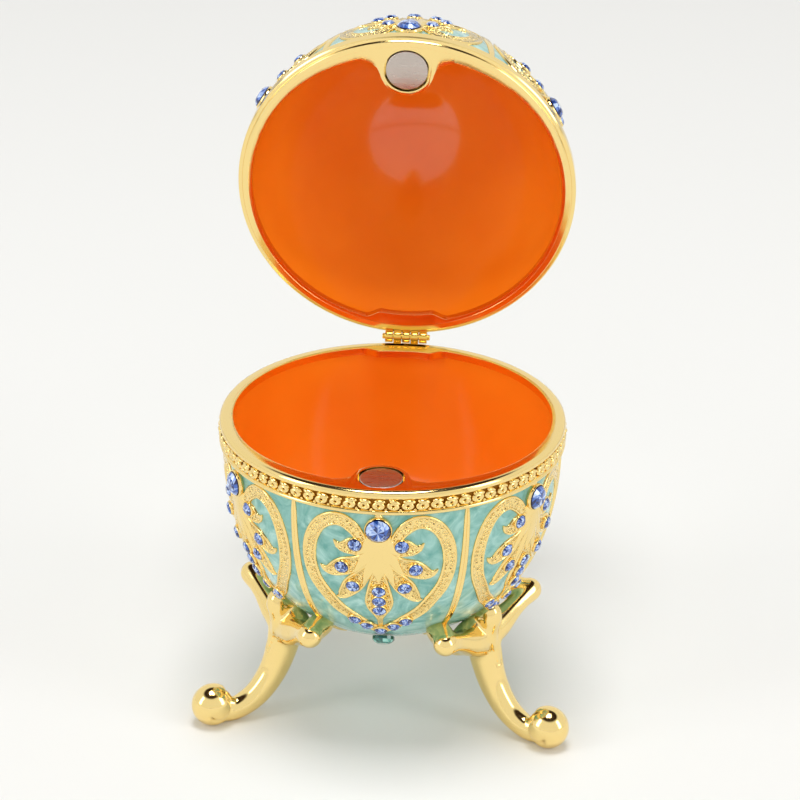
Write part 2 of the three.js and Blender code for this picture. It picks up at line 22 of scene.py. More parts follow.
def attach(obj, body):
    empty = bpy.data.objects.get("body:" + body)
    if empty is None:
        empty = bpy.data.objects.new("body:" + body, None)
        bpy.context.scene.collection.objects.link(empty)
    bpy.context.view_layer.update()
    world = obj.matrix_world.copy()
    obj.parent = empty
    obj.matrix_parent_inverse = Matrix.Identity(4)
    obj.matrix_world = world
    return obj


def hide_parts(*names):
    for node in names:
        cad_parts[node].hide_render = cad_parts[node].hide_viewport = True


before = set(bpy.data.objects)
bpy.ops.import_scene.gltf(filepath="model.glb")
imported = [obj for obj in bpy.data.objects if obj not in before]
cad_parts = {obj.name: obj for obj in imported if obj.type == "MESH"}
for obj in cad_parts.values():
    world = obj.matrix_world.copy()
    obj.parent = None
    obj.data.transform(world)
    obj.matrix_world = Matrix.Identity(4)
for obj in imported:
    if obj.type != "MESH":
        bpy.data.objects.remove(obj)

log = logging.getLogger("egg_box")

MM = 0.001
PANELS = 6
PANEL_DEG = 360 / PANELS
MM_PER_DEG = 0.5  # near the rim: puts a band's degrees on one scale with its millimetres
MIX_FIRST, MIX_SECOND, MIX_RESULT = 6, 7, 2  # the Mix node's colour sockets
Place = Callable[[int, int], Vector]
Stamp = Callable[[int, int], tuple[float, float, float]]
Path = tuple[tuple[float, ...], ...]


# ---------------------------------------------------------------- colour and nodes
def linear(hex_colour: str) -> tuple[float, float, float, float]:
    """Turns an sRGB hex colour into linear red, green, blue and alpha.

    Args:
        hex_colour: Six hex digits after a hash sign.

    Returns:
        The linear colour with an alpha of 1.
    """
    values = [int(hex_colour[i:i + 2], 16) / 255 for i in (1, 3, 5)]
    return (*(v / 12.92 if v <= 0.04045 else ((v + 0.055) / 1.055) ** 2.4 for v in values), 1.0)


def add_node(tree: bpy.types.NodeTree, kind: str, inputs: dict[str | int, object] | None = None,
             stops: Sequence[tuple[float, Sequence[float]]] = (), **settings: object) -> bpy.types.Node:
    """Adds a node with its settings and links.

    Args:
        tree: The node tree that takes the node.
        kind: The node's type name, without its ShaderNode.
        inputs: Socket name or index to a value, or to the output socket that feeds it.
        stops: For a colour ramp, its positions and linear colours, in order.
        settings: Properties of the node itself.

    Returns:
        The new node.
    """
    node = tree.nodes.new(f"ShaderNode{kind}")
    for key, value in settings.items():
        setattr(node, key, value)
    for key, value in (inputs or {}).items():
        if isinstance(value, bpy.types.NodeSocket):
            tree.links.new(value, node.inputs[key])
        else:
            node.inputs[key].default_value = value
    if stops:
        ramp = node.color_ramp.elements
        ramp[0].position, ramp[1].position = stops[0][0], stops[-1][0]
        for position, _ in stops[1:-1]:
            ramp.new(position)
        for element, (_, colour) in zip(ramp, stops):
            element.color = colour
    return node


@dataclass(frozen=True)
class Finish:
    """A surface finish: its name, its shader's constants and the nodes that vary it."""

    name: str
    colour: str
    roughness: float
    metallic: float = 0.0
    coat: float = 0.0
    coat_roughness: float = 0.04

    def vary(self, tree: bpy.types.NodeTree, shader: bpy.types.Node) -> None:
        """Adds this finish's own pattern to its shader; the plain finish has none."""

    def make(self) -> bpy.types.Material:
        """Builds the finish's material, once for each name.

        Returns:
            The material.
        """
        found = bpy.data.materials.get(self.name)
        if found:
            return found
        material = bpy.data.materials.new(self.name)
        material.use_nodes = True
        shader = material.node_tree.nodes["Principled BSDF"]
        for socket, value in (("Base Color", linear(self.colour)), ("Roughness", self.roughness),
                              ("Metallic", self.metallic), ("Coat Weight", self.coat),
                              ("Coat Roughness", self.coat_roughness)):
            shader.inputs[socket].default_value = value
        self.vary(material.node_tree, shader)
        return material


@dataclass(frozen=True)
class GoldPlate(Finish):
    """Polished gold plate over a zinc casting: bright, a little wavy, ring-stamped on its bands."""

    wave_mm: float = 5.0
    wave_height_mm: float = 0.12
    stamp_mm: float = 0.78
    stamp_height_mm: float = 0.14
    scatter: float = 0.55
    ring: tuple[tuple[float, float], ...] = (
        (0.08, 0.0), (0.18, 0.3), (0.28, 1.0), (0.36, 0.9), (0.46, 0.35), (0.6, 0.25))
    pit: tuple[float, float] = (0.08, 0.2)
    # Painted shade in the stamps' pits: the cell tones that take it, and its dark brown.
    shaded_pits: tuple[float, float] = (0.45, 0.9)
    pit_shade_colour: str = "#3A2206"

    def vary(self, tree: bpy.types.NodeTree, shader: bpy.types.Node) -> None:
        """Waves the plate slightly, stamps rings where the third part of "stamp" is 1, and paints shade
        into some of their pits.

        Args:
            tree: The material's node tree.
            shader: The shader that the pattern feeds.
        """
        where = add_node(tree, "TexCoord").outputs["Object"]
        wave = add_node(tree, "TexNoise",
                        {"Vector": where, "Scale": 1 / (self.wave_mm * MM), "Detail": 1.0})
        strip = add_node(tree, "Attribute", attribute_name="stamp").outputs["Vector"]
        punched = add_node(tree, "SeparateXYZ", {"Vector": strip}).outputs["Z"]
        stamps = add_node(tree, "TexVoronoi", {"Vector": strip, "Scale": 1 / self.stamp_mm,
                                               "Randomness": self.scatter},
                          voronoi_dimensions="2D")
        ring = add_node(tree, "ValToRGB", {"Fac": stamps.outputs["Distance"]},
                        stops=[(far, (level, level, level, 1)) for far, level in self.ring])
        tone = add_node(tree, "SeparateColor", {"Color": stamps.outputs["Color"]})
        chosen = add_node(tree, "MapRange",
                          {"Value": tone.outputs[0], "From Min": self.shaded_pits[0],
                           "From Max": self.shaded_pits[1]})
        pit = add_node(tree, "MapRange",
                       {"Value": stamps.outputs["Distance"], "From Min": self.pit[0],
                        "From Max": self.pit[1], "To Min": 1.0, "To Max": 0.0})
        # Painted shade: stamped pits picked at random by their cell's tone are mixed towards dark
        # brown.
        deep = add_node(tree, "Math", {0: pit.outputs["Result"], 1: chosen.outputs["Result"]},
                        operation="MULTIPLY")
        shade = add_node(tree, "Math", {0: deep.outputs[0], 1: punched}, operation="MULTIPLY")
        mix = add_node(tree, "Mix", {"Factor": shade.outputs[0], MIX_FIRST: linear(self.colour),
                                     MIX_SECOND: linear(self.pit_shade_colour)}, data_type="RGBA")
        relief = add_node(tree, "Math", {0: ring.outputs["Color"], 1: punched},
                          operation="MULTIPLY")
        ripple = add_node(tree, "Bump", {"Height": wave.outputs["Fac"], "Strength": 0.5,
                                         "Distance": self.wave_height_mm * MM})
        punch = add_node(tree, "Bump", {"Height": relief.outputs[0], "Strength": 0.9,
                                        "Distance": self.stamp_height_mm * MM,
                                        "Normal": ripple.outputs["Normal"]})
        tree.links.new(mix.outputs[MIX_RESULT], shader.inputs["Base Color"])
        tree.links.new(punch.outputs["Normal"], shader.inputs["Normal"])


@dataclass(frozen=True)
class PearlEnamel(Finish):
    """Cold enamel stirred with pearl: cloudy, with pale swirls and a few dark specks."""

    pale: str = "#ACD8D0"
    deep: str = "#62A39A"
    speck: str = "#1F5A4B"
    cloud_mm: float = 5.0
    cloud_height_mm: float = 0.1
    speck_mm: float = 2.6
    speck_edge: tuple[float, float] = (0.05, 0.11)
    speck_share: float = 0.07

    def vary(self, tree: bpy.types.NodeTree, shader: bpy.types.Node) -> None:
        """Swirls the pearl through the enamel and drops specks into it.

        Args:
            tree: The material's node tree.
            shader: The shader that the pattern feeds.
        """
        where = add_node(tree, "TexCoord").outputs["Object"]
        cloud = add_node(tree, "TexNoise", {"Vector": where, "Scale": 1 / (self.cloud_mm * MM),
                                            "Detail": 4.0, "Roughness": 0.6, "Distortion": 1.6})
        ramp = add_node(tree, "ValToRGB", {"Fac": cloud.outputs["Fac"]},
                        stops=((0.33, linear(self.deep)), (0.5, linear(self.colour)),
                               (0.68, linear(self.pale))))
        cells = add_node(tree, "TexVoronoi", {"Vector": where, "Scale": 1 / (self.speck_mm * MM)})
        spot = add_node(tree, "MapRange",
                        {"Value": cells.outputs["Distance"], "From Min": self.speck_edge[0],
                         "From Max": self.speck_edge[1], "To Min": 1.0, "To Max": 0.0})
        chosen = add_node(tree, "SeparateColor", {"Color": cells.outputs["Color"]})
        few = add_node(tree, "Math", {0: chosen.outputs[0], 1: 1 - self.speck_share},
                       operation="GREATER_THAN")
        speck = add_node(tree, "Math", {0: spot.outputs["Result"], 1: few.outputs[0]},
                         operation="MULTIPLY")
        mix = add_node(tree, "Mix", {"Factor": speck.outputs[0], MIX_FIRST: ramp.outputs["Color"],
                                     MIX_SECOND: linear(self.speck)}, data_type="RGBA")
        swell = add_node(tree, "Bump", {"Height": cloud.outputs["Fac"], "Strength": 0.35,
                                        "Distance": self.cloud_height_mm * MM})
        tree.links.new(mix.outputs[MIX_RESULT], shader.inputs["Base Color"])
        tree.links.new(swell.outputs["Normal"], shader.inputs["Normal"])


@dataclass(frozen=True)
class PouredEnamel(Finish):
    """Glossy one-colour enamel: poured, with a barely uneven skin and tone."""

    deep: str = "#F47C10"
    cloud_mm: float = 14.0
    skin_height_mm: float = 0.4

    def vary(self, tree: bpy.types.NodeTree, shader: bpy.types.Node) -> None:
        """Drifts the tone and the skin.

        Args:
            tree: The material's node tree.
            shader: The shader that the pattern feeds.
        """
        where = add_node(tree, "TexCoord").outputs["Object"]
        cloud = add_node(tree, "TexNoise",
                         {"Vector": where, "Scale": 1 / (self.cloud_mm * MM), "Detail": 2.0})
        mix = add_node(tree, "Mix", {"Factor": cloud.outputs["Fac"], MIX_FIRST: linear(self.colour),
                                     MIX_SECOND: linear(self.deep)}, data_type="RGBA")
        skin = add_node(tree, "Bump", {"Height": cloud.outputs["Fac"], "Strength": 0.4,
                                       "Distance": self.skin_height_mm * MM})
        tree.links.new(mix.outputs[MIX_RESULT], shader.inputs["Base Color"])
        tree.links.new(skin.outputs["Normal"], shader.inputs["Normal"])


@dataclass(frozen=True)
class GlintPaintedStone(Finish):
    """Pressed glass over foil, drawn opaque: every facet is painted its own tone of the stone's colour,
    a painted reflection.
    """

    # The darkest and the brightest of the painted facet reflections.
    dark: str = "#0C1F5C"
    bright: str = "#C4DAFF"

    def vary(self, tree: bpy.types.NodeTree, shader: bpy.types.Node) -> None:
        """Paints a reflection on each facet by the attribute "facet", from dark to bright.

        Args:
            tree: The material's node tree.
            shader: The shader that the pattern feeds.
        """
        facet = add_node(tree, "Attribute", attribute_name="facet")
        ramp = add_node(tree, "ValToRGB", {"Fac": facet.outputs["Fac"]},
                        stops=((0.25, linear(self.dark)), (0.5, linear(self.colour)),
                               (0.8, linear(self.bright))))
        tree.links.new(ramp.outputs["Color"], shader.inputs["Base Color"])


@dataclass(frozen=True)
class WornMetal(Finish):
    """Plain sheet or plated metal with a fine rolled or lapped grain."""

    # Real rolling and lapping lines are under 0.05 mm apart: drawn as coarse as they need to show.
    grain_mm: float = 0.4
    stretch: tuple[float, float, float] = (0.15, 1.0, 1.0)

    def vary(self, tree: bpy.types.NodeTree, shader: bpy.types.Node) -> None:
        """Scatters the roughness along the grain.

        Args:
            tree: The material's node tree.
            shader: The shader that the pattern feeds.
        """
        where = add_node(tree, "TexCoord").outputs["Object"]
        along = add_node(tree, "Mapping", {"Vector": where, "Scale": self.stretch})
        grain = add_node(tree, "TexNoise",
                         {"Vector": along.outputs["Vector"], "Scale": 1 / (self.grain_mm * MM)})
        rough = add_node(tree, "MapRange",
                         {"Value": grain.outputs["Fac"], "To Min": self.roughness * 0.7,
                          "To Max": self.roughness * 1.4})
        tree.links.new(rough.outputs["Result"], shader.inputs["Roughness"])


# Bright plate that mirrors the room, and the same plate painted dark brown as shade in the channel
# under the rope band.
GOLD = GoldPlate("gold_plate_polished", "#F8DC94", 0.12, metallic=1.0)
RECESS_SHADE = WornMetal("gold_plate_recess", "#8A5B1C", 0.32, metallic=1.0)
# Cloudy and soft outside, one clear glossy colour inside.
AQUA = PearlEnamel("cold_enamel_aqua_pearl", "#86BDB4", 0.16, coat=0.4)
ORANGE = PouredEnamel("poured_enamel_orange", "#FF9420", 0.16, coat=0.6)
# Foil-backed glass drawn opaque, its sparkle painted facet by facet in tones of its colour.
SAPPHIRE = GlintPaintedStone("foiled_glass_sapphire", "#3A68C4", 0.06, metallic=0.2, coat=1.0)
# The drop stones are blue glass seen edge-on, painted teal as a reflection of the aqua enamel.
ENAMEL_REFLECTION_GLASS = GlintPaintedStone("foiled_glass_teal", "#3E9E92", 0.06, metallic=0.2, coat=1.0,
                         dark="#14594F", bright="#9AD6CB")
# Satin yellow sheet and satin grey plate.
BRASS = WornMetal("hinge_brass_rolled", "#F0C862", 0.2, metallic=1.0)
NICKEL = WornMetal("magnet_nickel_lapped", "#C4BAB2", 0.28, metallic=1.0)
PAPER = Finish("studio_paper_white", "#E9E9E7", 0.9)


# ---------------------------------------------------------------- modelling by hand
def deselect() -> None:
    """Leaves nothing selected."""
    for item in bpy.context.selected_objects:
        item.select_set(False)


def pick(piece: bpy.types.Object) -> None:
    """Selects one piece alone and makes it active."""
    deselect()
    piece.select_set(True)
    bpy.context.view_layer.objects.active = piece


@contextmanager
def editing(piece: bpy.types.Object) -> Iterator[bmesh.types.BMesh]:
    """Opens a piece in edit mode.

    Args:
        piece: The piece to edit.

    Yields:
        Its edit mesh.
    """
    pick(piece)
    bpy.ops.object.mode_set(mode="EDIT")
    yield bmesh.from_edit_mesh(piece.data)
    bpy.ops.object.mode_set(mode="OBJECT")


def select_only(mesh: bmesh.types.BMesh, elements: Sequence) -> None:
    """Selects the given vertices, edges or faces and nothing else.

    Args:
        mesh: The edit mesh.
        elements: What to select.
    """
    bpy.ops.mesh.select_all(action="DESELECT")
    for element in elements:
        element.select_set(True)
    mesh.select_flush_mode()
    bmesh.update_edit_mesh(bpy.context.object.data)


def named(piece: bpy.types.Object, name: str) -> bpy.types.Object:
    """Names a piece and its mesh."""
    piece.name = name
    piece.data.name = name
    return piece


def started(operator: Callable, name: str, **size: object) -> bpy.types.Object:
    """Adds a primitive to shape, with nothing else selected.

    Args:
        operator: The operator that adds it.
        name: Its name.
        size: The operator's settings.

    Returns:
        The primitive.
    """
    deselect()
    operator(**size)
    return named(bpy.context.object, name)


def tidy_normals(piece: bpy.types.Object) -> None:
    """Merges doubled vertices and points the faces outwards."""
    with editing(piece):
        bpy.ops.mesh.select_all(action="SELECT")
        bpy.ops.mesh.remove_doubles(threshold=1e-4)
        bpy.ops.mesh.normals_make_consistent(inside=False)


def modified(piece: bpy.types.Object, kind: str, **settings: object) -> None:
    """Adds a modifier and applies it.

    Args:
        piece: The piece to change.
        kind: The modifier's type.
        settings: The modifier's properties.
    """
    modifier = piece.modifiers.new(kind.title(), kind)
    for key, value in settings.items():
        setattr(modifier, key, value)
    pick(piece)
    bpy.ops.object.modifier_apply(modifier=modifier.name)


def joined(name: str, pieces: Sequence[bpy.types.Object]) -> bpy.types.Object:
    """Joins pieces into one.

    Args:
        name: The joined piece's name.
        pieces: What to join.

    Returns:
        The joined piece.
    """
    pick(pieces[0])
    for piece in pieces:
        piece.select_set(True)
    if len(pieces) > 1:
        bpy.ops.object.join()
    return named(bpy.context.object, name)


def copied(piece: bpy.types.Object, name: str) -> bpy.types.Object:
    """Copies a piece with its own mesh."""
    twin = piece.copy()
    twin.data = piece.data.copy()
    bpy.context.collection.objects.link(twin)
    return named(twin, name)


def shade(piece: bpy.types.Object, sharp_deg: float) -> None:
    """Shades a piece smooth, but sharp over edges steeper than the angle."""
    pick(piece)
    bpy.ops.object.shade_smooth_by_angle(angle=math.radians(sharp_deg))


def ringed_bar(name: str, sides: int, rings: int, place: Place,
               stamp: Stamp | None = None) -> bpy.types.Object:
    """Adds a cylinder, cuts it into rings and puts every ring's corners in place.

    Args:
        name: The bar's name.
        sides: Corners in a ring.
        rings: Rings from end to end.
        place: Gives the point of a ring's corner.
        stamp: Gives the "stamp" of a ring's corner: millimetres along and across, 1 if punched.

    Returns:
        The bar.
    """
    bar = started(bpy.ops.mesh.primitive_cylinder_add, name, vertices=sides, radius=1, depth=2)
    if rings > 2:
        with editing(bar) as mesh:
            upright = [e for e in mesh.edges if abs(e.verts[0].co.z - e.verts[1].co.z) > 1]
            select_only(mesh, upright)
            bpy.ops.mesh.subdivide(number_cuts=rings - 2)
    if stamp:
        bar.data.attributes.new("stamp", "FLOAT_VECTOR", "POINT")
    for vertex in bar.data.vertices:
        ring = round((vertex.co.z + 1) / 2 * (rings - 1))
        turn = math.atan2(-vertex.co.x, vertex.co.y) % (2 * math.pi)
        corner = round(turn / (2 * math.pi) * sides) % sides
        vertex.co = place(ring, corner)
        if stamp:
            bar.data.attributes["stamp"].data[vertex.index].vector = stamp(ring, corner)
    tidy_normals(bar)
    return bar


def smooth_path(points: Sequence[Sequence[float]], step: float) -> list[tuple[float, ...]]:
    """Runs a smooth curve through points and stations it evenly.

    Args:
        points: Points of any number of coordinates; the first two measure the length.
        step: Distance between stations.

    Returns:
        The stations.
    """
    fine = []
    last = len(points) - 1
    for i in range(last):
        p = [points[max(i - 1, 0)], points[i], points[i + 1], points[min(i + 2, last)]]
        for k in range(16):
            t = k / 16
            fine.append(tuple(
                0.5 * (2 * b + (c - a) * t + (2 * a - 5 * b + 4 * c - d) * t * t
                       + (3 * b - a - 3 * c + d) * t ** 3)
                for a, b, c, d in zip(*p)))
    fine.append(tuple(points[last]))
    lengths = [0.0]
    for a, b in zip(fine, fine[1:]):
        lengths.append(lengths[-1] + math.dist(a[:2], b[:2]))
    count = max(2, round(lengths[-1] / step))
    stations = []
    for i in range(count + 1):
        target = lengths[-1] * i / count
        k = min(max(bisect_left(lengths, target), 1), len(fine) - 1)
        mix = (target - lengths[k - 1]) / max(lengths[k] - lengths[k - 1], 1e-9)
        stations.append(tuple(a + (b - a) * mix for a, b in zip(fine[k - 1], fine[k])))
    return stations


def set_attribute(piece: bpy.types.Object, name: str, domain: str, values: Sequence[float]) -> None:
    """Stores one number for each vertex or face.

    Args:
        piece: The piece that takes the numbers.
        name: The attribute's name.
        domain: POINT or FACE.
        values: The numbers, in the mesh's own order.
    """
    layer = piece.data.attributes.new(name, "FLOAT", domain)
    layer.data.foreach_set("value", list(values))


# ---------------------------------------------------------------- the egg's halves
@dataclass
class HalfEgg:
    """One half of the egg: its surface, its rim's moulding and where it stands.

    The radius at a fraction u of the depth is waist (1 - u^power)^(1/power) (1 - taper u), under or
    over a short upright stretch at the rim.
    """

    name: str
    body: str
    waist: float
    depth: float
    power: float
    taper: float
    upright: float
    wall: float
    sign: int
    moulding: tuple[tuple[float, float], ...]
    place: Matrix
    # Depths of the rim's channel under the rope band, painted with shade.
    recess: tuple[float, float] = (0.0, 0.0)
    enamel_drop: float = 0.12
    rows: list[tuple[float, ...]] = field(default_factory=list)

    def __post_init__(self) -> None:
        """Works out the rows of distance along, radius, height and outward normal."""
        steps = 300
        line = [(self.waist, 0.0)]
        for i in range(steps + 1):
            u = math.sin(math.pi / 2 * i / steps)
            width = max(0.0, 1 - u ** self.power) ** (1 / self.power)
            line.append((self.waist * width * (1 - self.taper * u), self.upright + self.depth * u))
        along = -self.upright
        for i, (radius, height) in enumerate(line):
            if i:
                along += math.dist(line[i], line[i - 1])
            (r0, h0), (r1, h1) = line[max(i - 1, 0)], line[min(i + 1, len(line) - 1)]
            run = math.hypot(r1 - r0, h1 - h0)
            out, up = (h1 - h0) / run, (r0 - r1) / run
            if i == len(line) - 1:
                out, up = 0.0, 1.0
            self.rows.append((along, radius, height, out, up))

    @property
    def arc(self) -> float:
        """Distance along the surface from where the enamel starts to the pole."""
        return self.rows[-1][0]

    def profile(self, along: float, lift: float) -> tuple[float, float]:
        """Radius and height at a distance along the surface.

        Args:
            along: Distance from where the enamel starts.
            lift: How far off the surface.

        Returns:
            Radius and signed height over the rim's plane.
        """
        k = min(max(bisect_left(self.rows, (along,)), 1), len(self.rows) - 1)
        a, b = self.rows[k - 1], self.rows[k]
        mix = min(max((along - a[0]) / (b[0] - a[0]), 0), 1)
        radius, height, out, up = (p + (q - p) * mix for p, q in zip(a[1:], b[1:]))
        return radius + lift * out, self.sign * (height + lift * up)

    def point(self, degrees: float, along: float, lift: float) -> Vector:
        """A point on or off the surface, round from the front."""
        radius, height = self.profile(along, lift)
        turn = math.radians(degrees)
        return Vector((radius * math.sin(turn), -radius * math.cos(turn), height))

    def axes(self, degrees: float, along: float) -> Matrix:
        """The surface's own axes at a place: across it, along it and out of it.

        Args:
            degrees: Angle round from the front.
            along: Distance from where the enamel starts.

        Returns:
            A matrix that stands a flat-made piece on the surface.
        """
        base = self.point(degrees, along, 0)
        out = (self.point(degrees, along, 1) - base).normalized()
        across = Vector((math.cos(math.radians(degrees)), math.sin(math.radians(degrees)), 0))
        matrix = Matrix((across, out.cross(across), out)).transposed().to_4x4()
        matrix.translation = base
        return matrix

    def degrees_per_mm(self, along: float) -> float:
        """How far round a millimetre goes."""
        return math.degrees(1 / max(self.profile(along, 0)[0], 1))

    def dress(self, piece: bpy.types.Object, finish: Finish, slot: str,
              nodes: Sequence[str] = ()) -> None:
        """Stands a finished piece with this half and gives it its material, body and solids.

        Args:
            piece: The piece, in this half's own place.
            finish: Its finish, where it has no material yet.
            slot: The record's material slot; not used.
            nodes: The solids that it replaces.
        """
        if not piece.data.materials:
            piece.data.materials.append(finish.make())
        piece.data.transform(self.place)
        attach(piece, self.body)
        if nodes:
            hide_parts(*nodes)
        log.info("%s: %d faces on %s", piece.name, len(piece.data.polygons), self.body)


SEAM_MIDDLE = (0.54, -15.31, 53.7)  # the bowl's seam stands here over the floor
FLOOR = -SEAM_MIDDLE[2]
STAND = Matrix.Scale(MM, 4) @ Matrix.Translation(SEAM_MIDDLE)
HINGE_Y, HINGE_Z = 29.9, 0.65
LID_GAP = 0.3
LID_OPEN_DEG = 83
LEAN = (Matrix.Translation((0, HINGE_Y, HINGE_Z))
        @ Matrix.Rotation(math.radians(-LID_OPEN_DEG), 4, "X")
        @ Matrix.Translation((0, -HINGE_Y, LID_GAP - HINGE_Z)))

BOWL = HalfEgg(
    "bowl", "base", waist=28.5, depth=34.4, power=2.33, taper=0, upright=3.9, wall=1.3, sign=-1,
    moulding=((0, 28.3), (0.06, 28.72), (0.2, 29.0), (0.45, 29.2), (0.8, 29.28), (1.1, 29.24),
    (1.32, 29.1), (1.42, 28.9), (1.5, 28.75), (2.4, 28.8), (3.3, 28.75), (3.42, 29.05),
    (3.55, 29.25), (3.75, 29.35), (4.0, 29.33), (4.15, 29.15), (4.22, 28.7)), place=STAND,
    recess=(1.45, 3.35))
LID = HalfEgg(
    "lid", "lid", waist=28.6, depth=34, power=2, taper=0.12, upright=1.5, wall=1.6, sign=1,
    moulding=((0, 28.25), (0.15, 28.4), (0.3, 28.45), (0.32, 28.9), (0.5, 29.1), (1.9, 29.1),
    (2.1, 28.95), (2.15, 28.4)), place=STAND @ LEAN)


class Coat(IntEnum):
    """A shell's finishes, in the order of its material slots."""

    GILT = 0
    OUTSIDE = 1
    INSIDE = 2
    # The recess finish is painted shade: dark brown gold in the channel under the rope band.
    RECESS_SHADE = 3


@dataclass
class Shell:
    """One half's casting, turned on the egg's axis: gold rim, enamelled outside and inside."""

    half: HalfEgg
    around: int = 192
    outer_steps: int = 56
    inner_steps: int = 44
    rim_inner: float = 0.35
    rim_deep: float = 0.35
    inner_start: float = 0.4
    sharp_deg: float = 32

    def section(self) -> list[tuple[float, float]]:
        """The wall's section as radius and height.

        Returns:
            Rows from the rim's inner edge, over the outside to the pole and back inside.
        """
        half = self.half
        rows = [(half.waist - half.wall + self.rim_inner, 0.0)]
        rows += [(radius, half.sign * drop) for drop, radius in half.moulding]
        start = half.moulding[-1][0] - half.upright
        for i in range(self.outer_steps + 1):
            along = start + (half.arc - start) * math.sin(math.pi / 2 * i / self.outer_steps)
            radius, height = half.profile(along, -half.enamel_drop)
            rows.append((radius if i < self.outer_steps else 0.0, height))
        run = half.arc + half.upright - self.inner_start
        for i in range(self.inner_steps + 1):
            along = half.arc - run * (1 - math.cos(math.pi / 2 * i / self.inner_steps))
            radius, height = half.profile(along, -half.wall)
            rows.append((radius if i else 0.0, height))
        return rows

    def coat(self, face: bpy.types.MeshPolygon) -> Coat:
        """Picks a face's finish by where it is and which way it looks.

        Args:
            face: A face of the shell, in the half's own place.

        Returns:
            The finish.
        """
        x, y, z = face.center
        depth = abs(z)
        if face.normal.dot(Vector((x, y, z * 0.8))) <= 0:
            return Coat.INSIDE if depth > self.rim_deep else Coat.GILT
        if depth > self.half.moulding[-1][0] + 0.02:
            return Coat.OUTSIDE
        # Faces in the channel under the rope band take the painted shade.
        high, low = self.half.recess
        return Coat.RECESS_SHADE if high < depth < low else Coat.GILT

    def build(self) -> None:
        """Spins the section into the shell and gives it its four finishes."""
        rows = self.section()
        shell = started(bpy.ops.mesh.primitive_circle_add, f"{self.half.name}_casting",
                        vertices=len(rows), radius=1)
        for vertex, (radius, height) in zip(shell.data.vertices, rows):
            vertex.co = (0, -radius, height)
        with editing(shell) as mesh:
            axis = [e for e in mesh.edges if all(abs(v.co.y) < 1e-6 for v in e.verts)]
            select_only(mesh, axis)
            bpy.ops.mesh.delete(type="EDGE")
            bpy.ops.mesh.select_all(action="SELECT")
            bpy.ops.mesh.spin(steps=self.around, angle=2 * math.pi, center=(0, 0, 0),
                              axis=(0, 0, 1))
        tidy_normals(shell)
        for finish in (GOLD, AQUA, ORANGE, RECESS_SHADE):
            shell.data.materials.append(finish.make())
        for face in shell.data.polygons:
            face.material_index = self.coat(face)
        shade(shell, self.sharp_deg)
        self.half.dress(shell, GOLD, "enamelled_gilt", [f"{self.half.name}_shell"])


# ---------------------------------------------------------------- relief
class Section(Enum):
    """How a raised band is shaped across, as (inset from its edge, lift) rows up to its middle."""

    PUNCHED = ((0.0, -0.8), (0.0, -0.05), (0.07, 0.14), (0.2, 0.24), (0.36, 0.22), (0.5, 0.1))
    SMOOTH = ((0.0, -0.8), (0.0, -0.05), (0.1, 0.16), (0.3, 0.3), (0.55, 0.38), (0.9, 0.43))
    WIRE = ((0.0, -0.8), (0.0, -0.1), (0.08, 0.08), (0.2, 0.2), (0.34, 0.27), (0.5, 0.3))


@dataclass(frozen=True)
class Band:
    """A raised gold band: stations of (degrees, along, half width in millimetres)."""

    name: str
    path: tuple[tuple[float, float, float], ...]
    section: Section
    both_sides: bool = True
    middle_lift: float = 0.1
    step: float = 0.55


HEART = Band(
    "heart", ((0, 28.4, 1.0), (4.8, 26.6, 1.1), (10.5, 23.9, 1.2), (15.8, 21.4, 1.25),
    (19.6, 18.4, 1.25), (23, 15.2, 1.25), (24.5, 11.8, 1.25), (24.4, 8.7, 1.25), (23, 5.9, 1.25),
    (20.2, 3.5, 1.25), (16.3, 2.2, 1.25), (12.3, 2.1, 1.25), (8.8, 3.2, 1.2), (6.3, 4.8, 1.0),
    (4.8, 6.6, 0.7)), Section.PUNCHED)
PANEL_BANDS = (
    HEART,
    Band(
        "leaf_high", ((2.6, 6.6, 1.1), (5.5, 6.9, 1.6), (8.5, 6.8, 1.7), (11.5, 7.1, 1.25),
        (13.8, 6.9, 0.65), (15.2, 6.0, 0.1)), Section.PUNCHED),
    Band(
        "leaf_middle", ((2.6, 8.4, 1.0), (7, 10, 1.4), (12, 11.1, 1.8), (16.5, 12.2, 1.3),
        (19.2, 12.2, 0.6), (20.6, 11.5, 0.1)), Section.PUNCHED),
    Band(
        "leaf_low", ((2.2, 10.4, 0.9), (5.5, 12.6, 1.35), (9.1, 14.9, 1.75), (12.6, 17.2, 1.2),
        (14.6, 18.2, 0.6), (16, 18.2, 0.1)), Section.PUNCHED),
    Band(
        "fan_high", ((1.2, 4.9, 0.9), (3, 5.9, 1.1), (5, 7.2, 0.9), (6.8, 8.1, 0.35)),
        Section.SMOOTH, middle_lift=0.46),
    Band(
        "fan_middle", ((0.9, 5.2, 0.7), (3, 7.9, 1.05), (5.2, 9.6, 0.95), (8.2, 11.9, 0.3)),
        Section.SMOOTH, middle_lift=0.46),
    Band(
        "fan_low", ((0.7, 5.5, 0.6), (1.9, 9, 0.95), (3.6, 12, 0.85), (5.4, 14.4, 0.3)),
        Section.SMOOTH, middle_lift=0.46),
    Band(
        "fan", ((0, 3.6, 1.9), (0, 5.5, 2.3), (0, 7.5, 2.35), (0, 9.5, 1.9), (0, 11.5, 1.25),
        (0, 13.6, 0.3)), Section.SMOOTH, both_sides=False, middle_lift=0.5),
    Band(
        "petal", ((0, 10.5, 0.7), (0, 13.5, 1.5), (0, 16.2, 2.1), (0, 18.6, 2.4), (0, 20.6, 2.0),
        (0, 22.6, 1.0), (0, 24.2, 0.5), (0, 27, 0.4)), Section.PUNCHED, both_sides=False),
    Band(
        "crest", ((0, 0.1, 0.25), (0, 0.9, 0.7), (0, 1.7, 1.3)), Section.SMOOTH, both_sides=False,
        middle_lift=0.3),
)
RIB = Band(
    "rib", ((30, 0.2, 0.3), (30, 3, 0.55), (30, 14, 0.7), (30, 24, 0.6), (30, 37, 0.35)),
    Section.WIRE, both_sides=False, step=0.8)


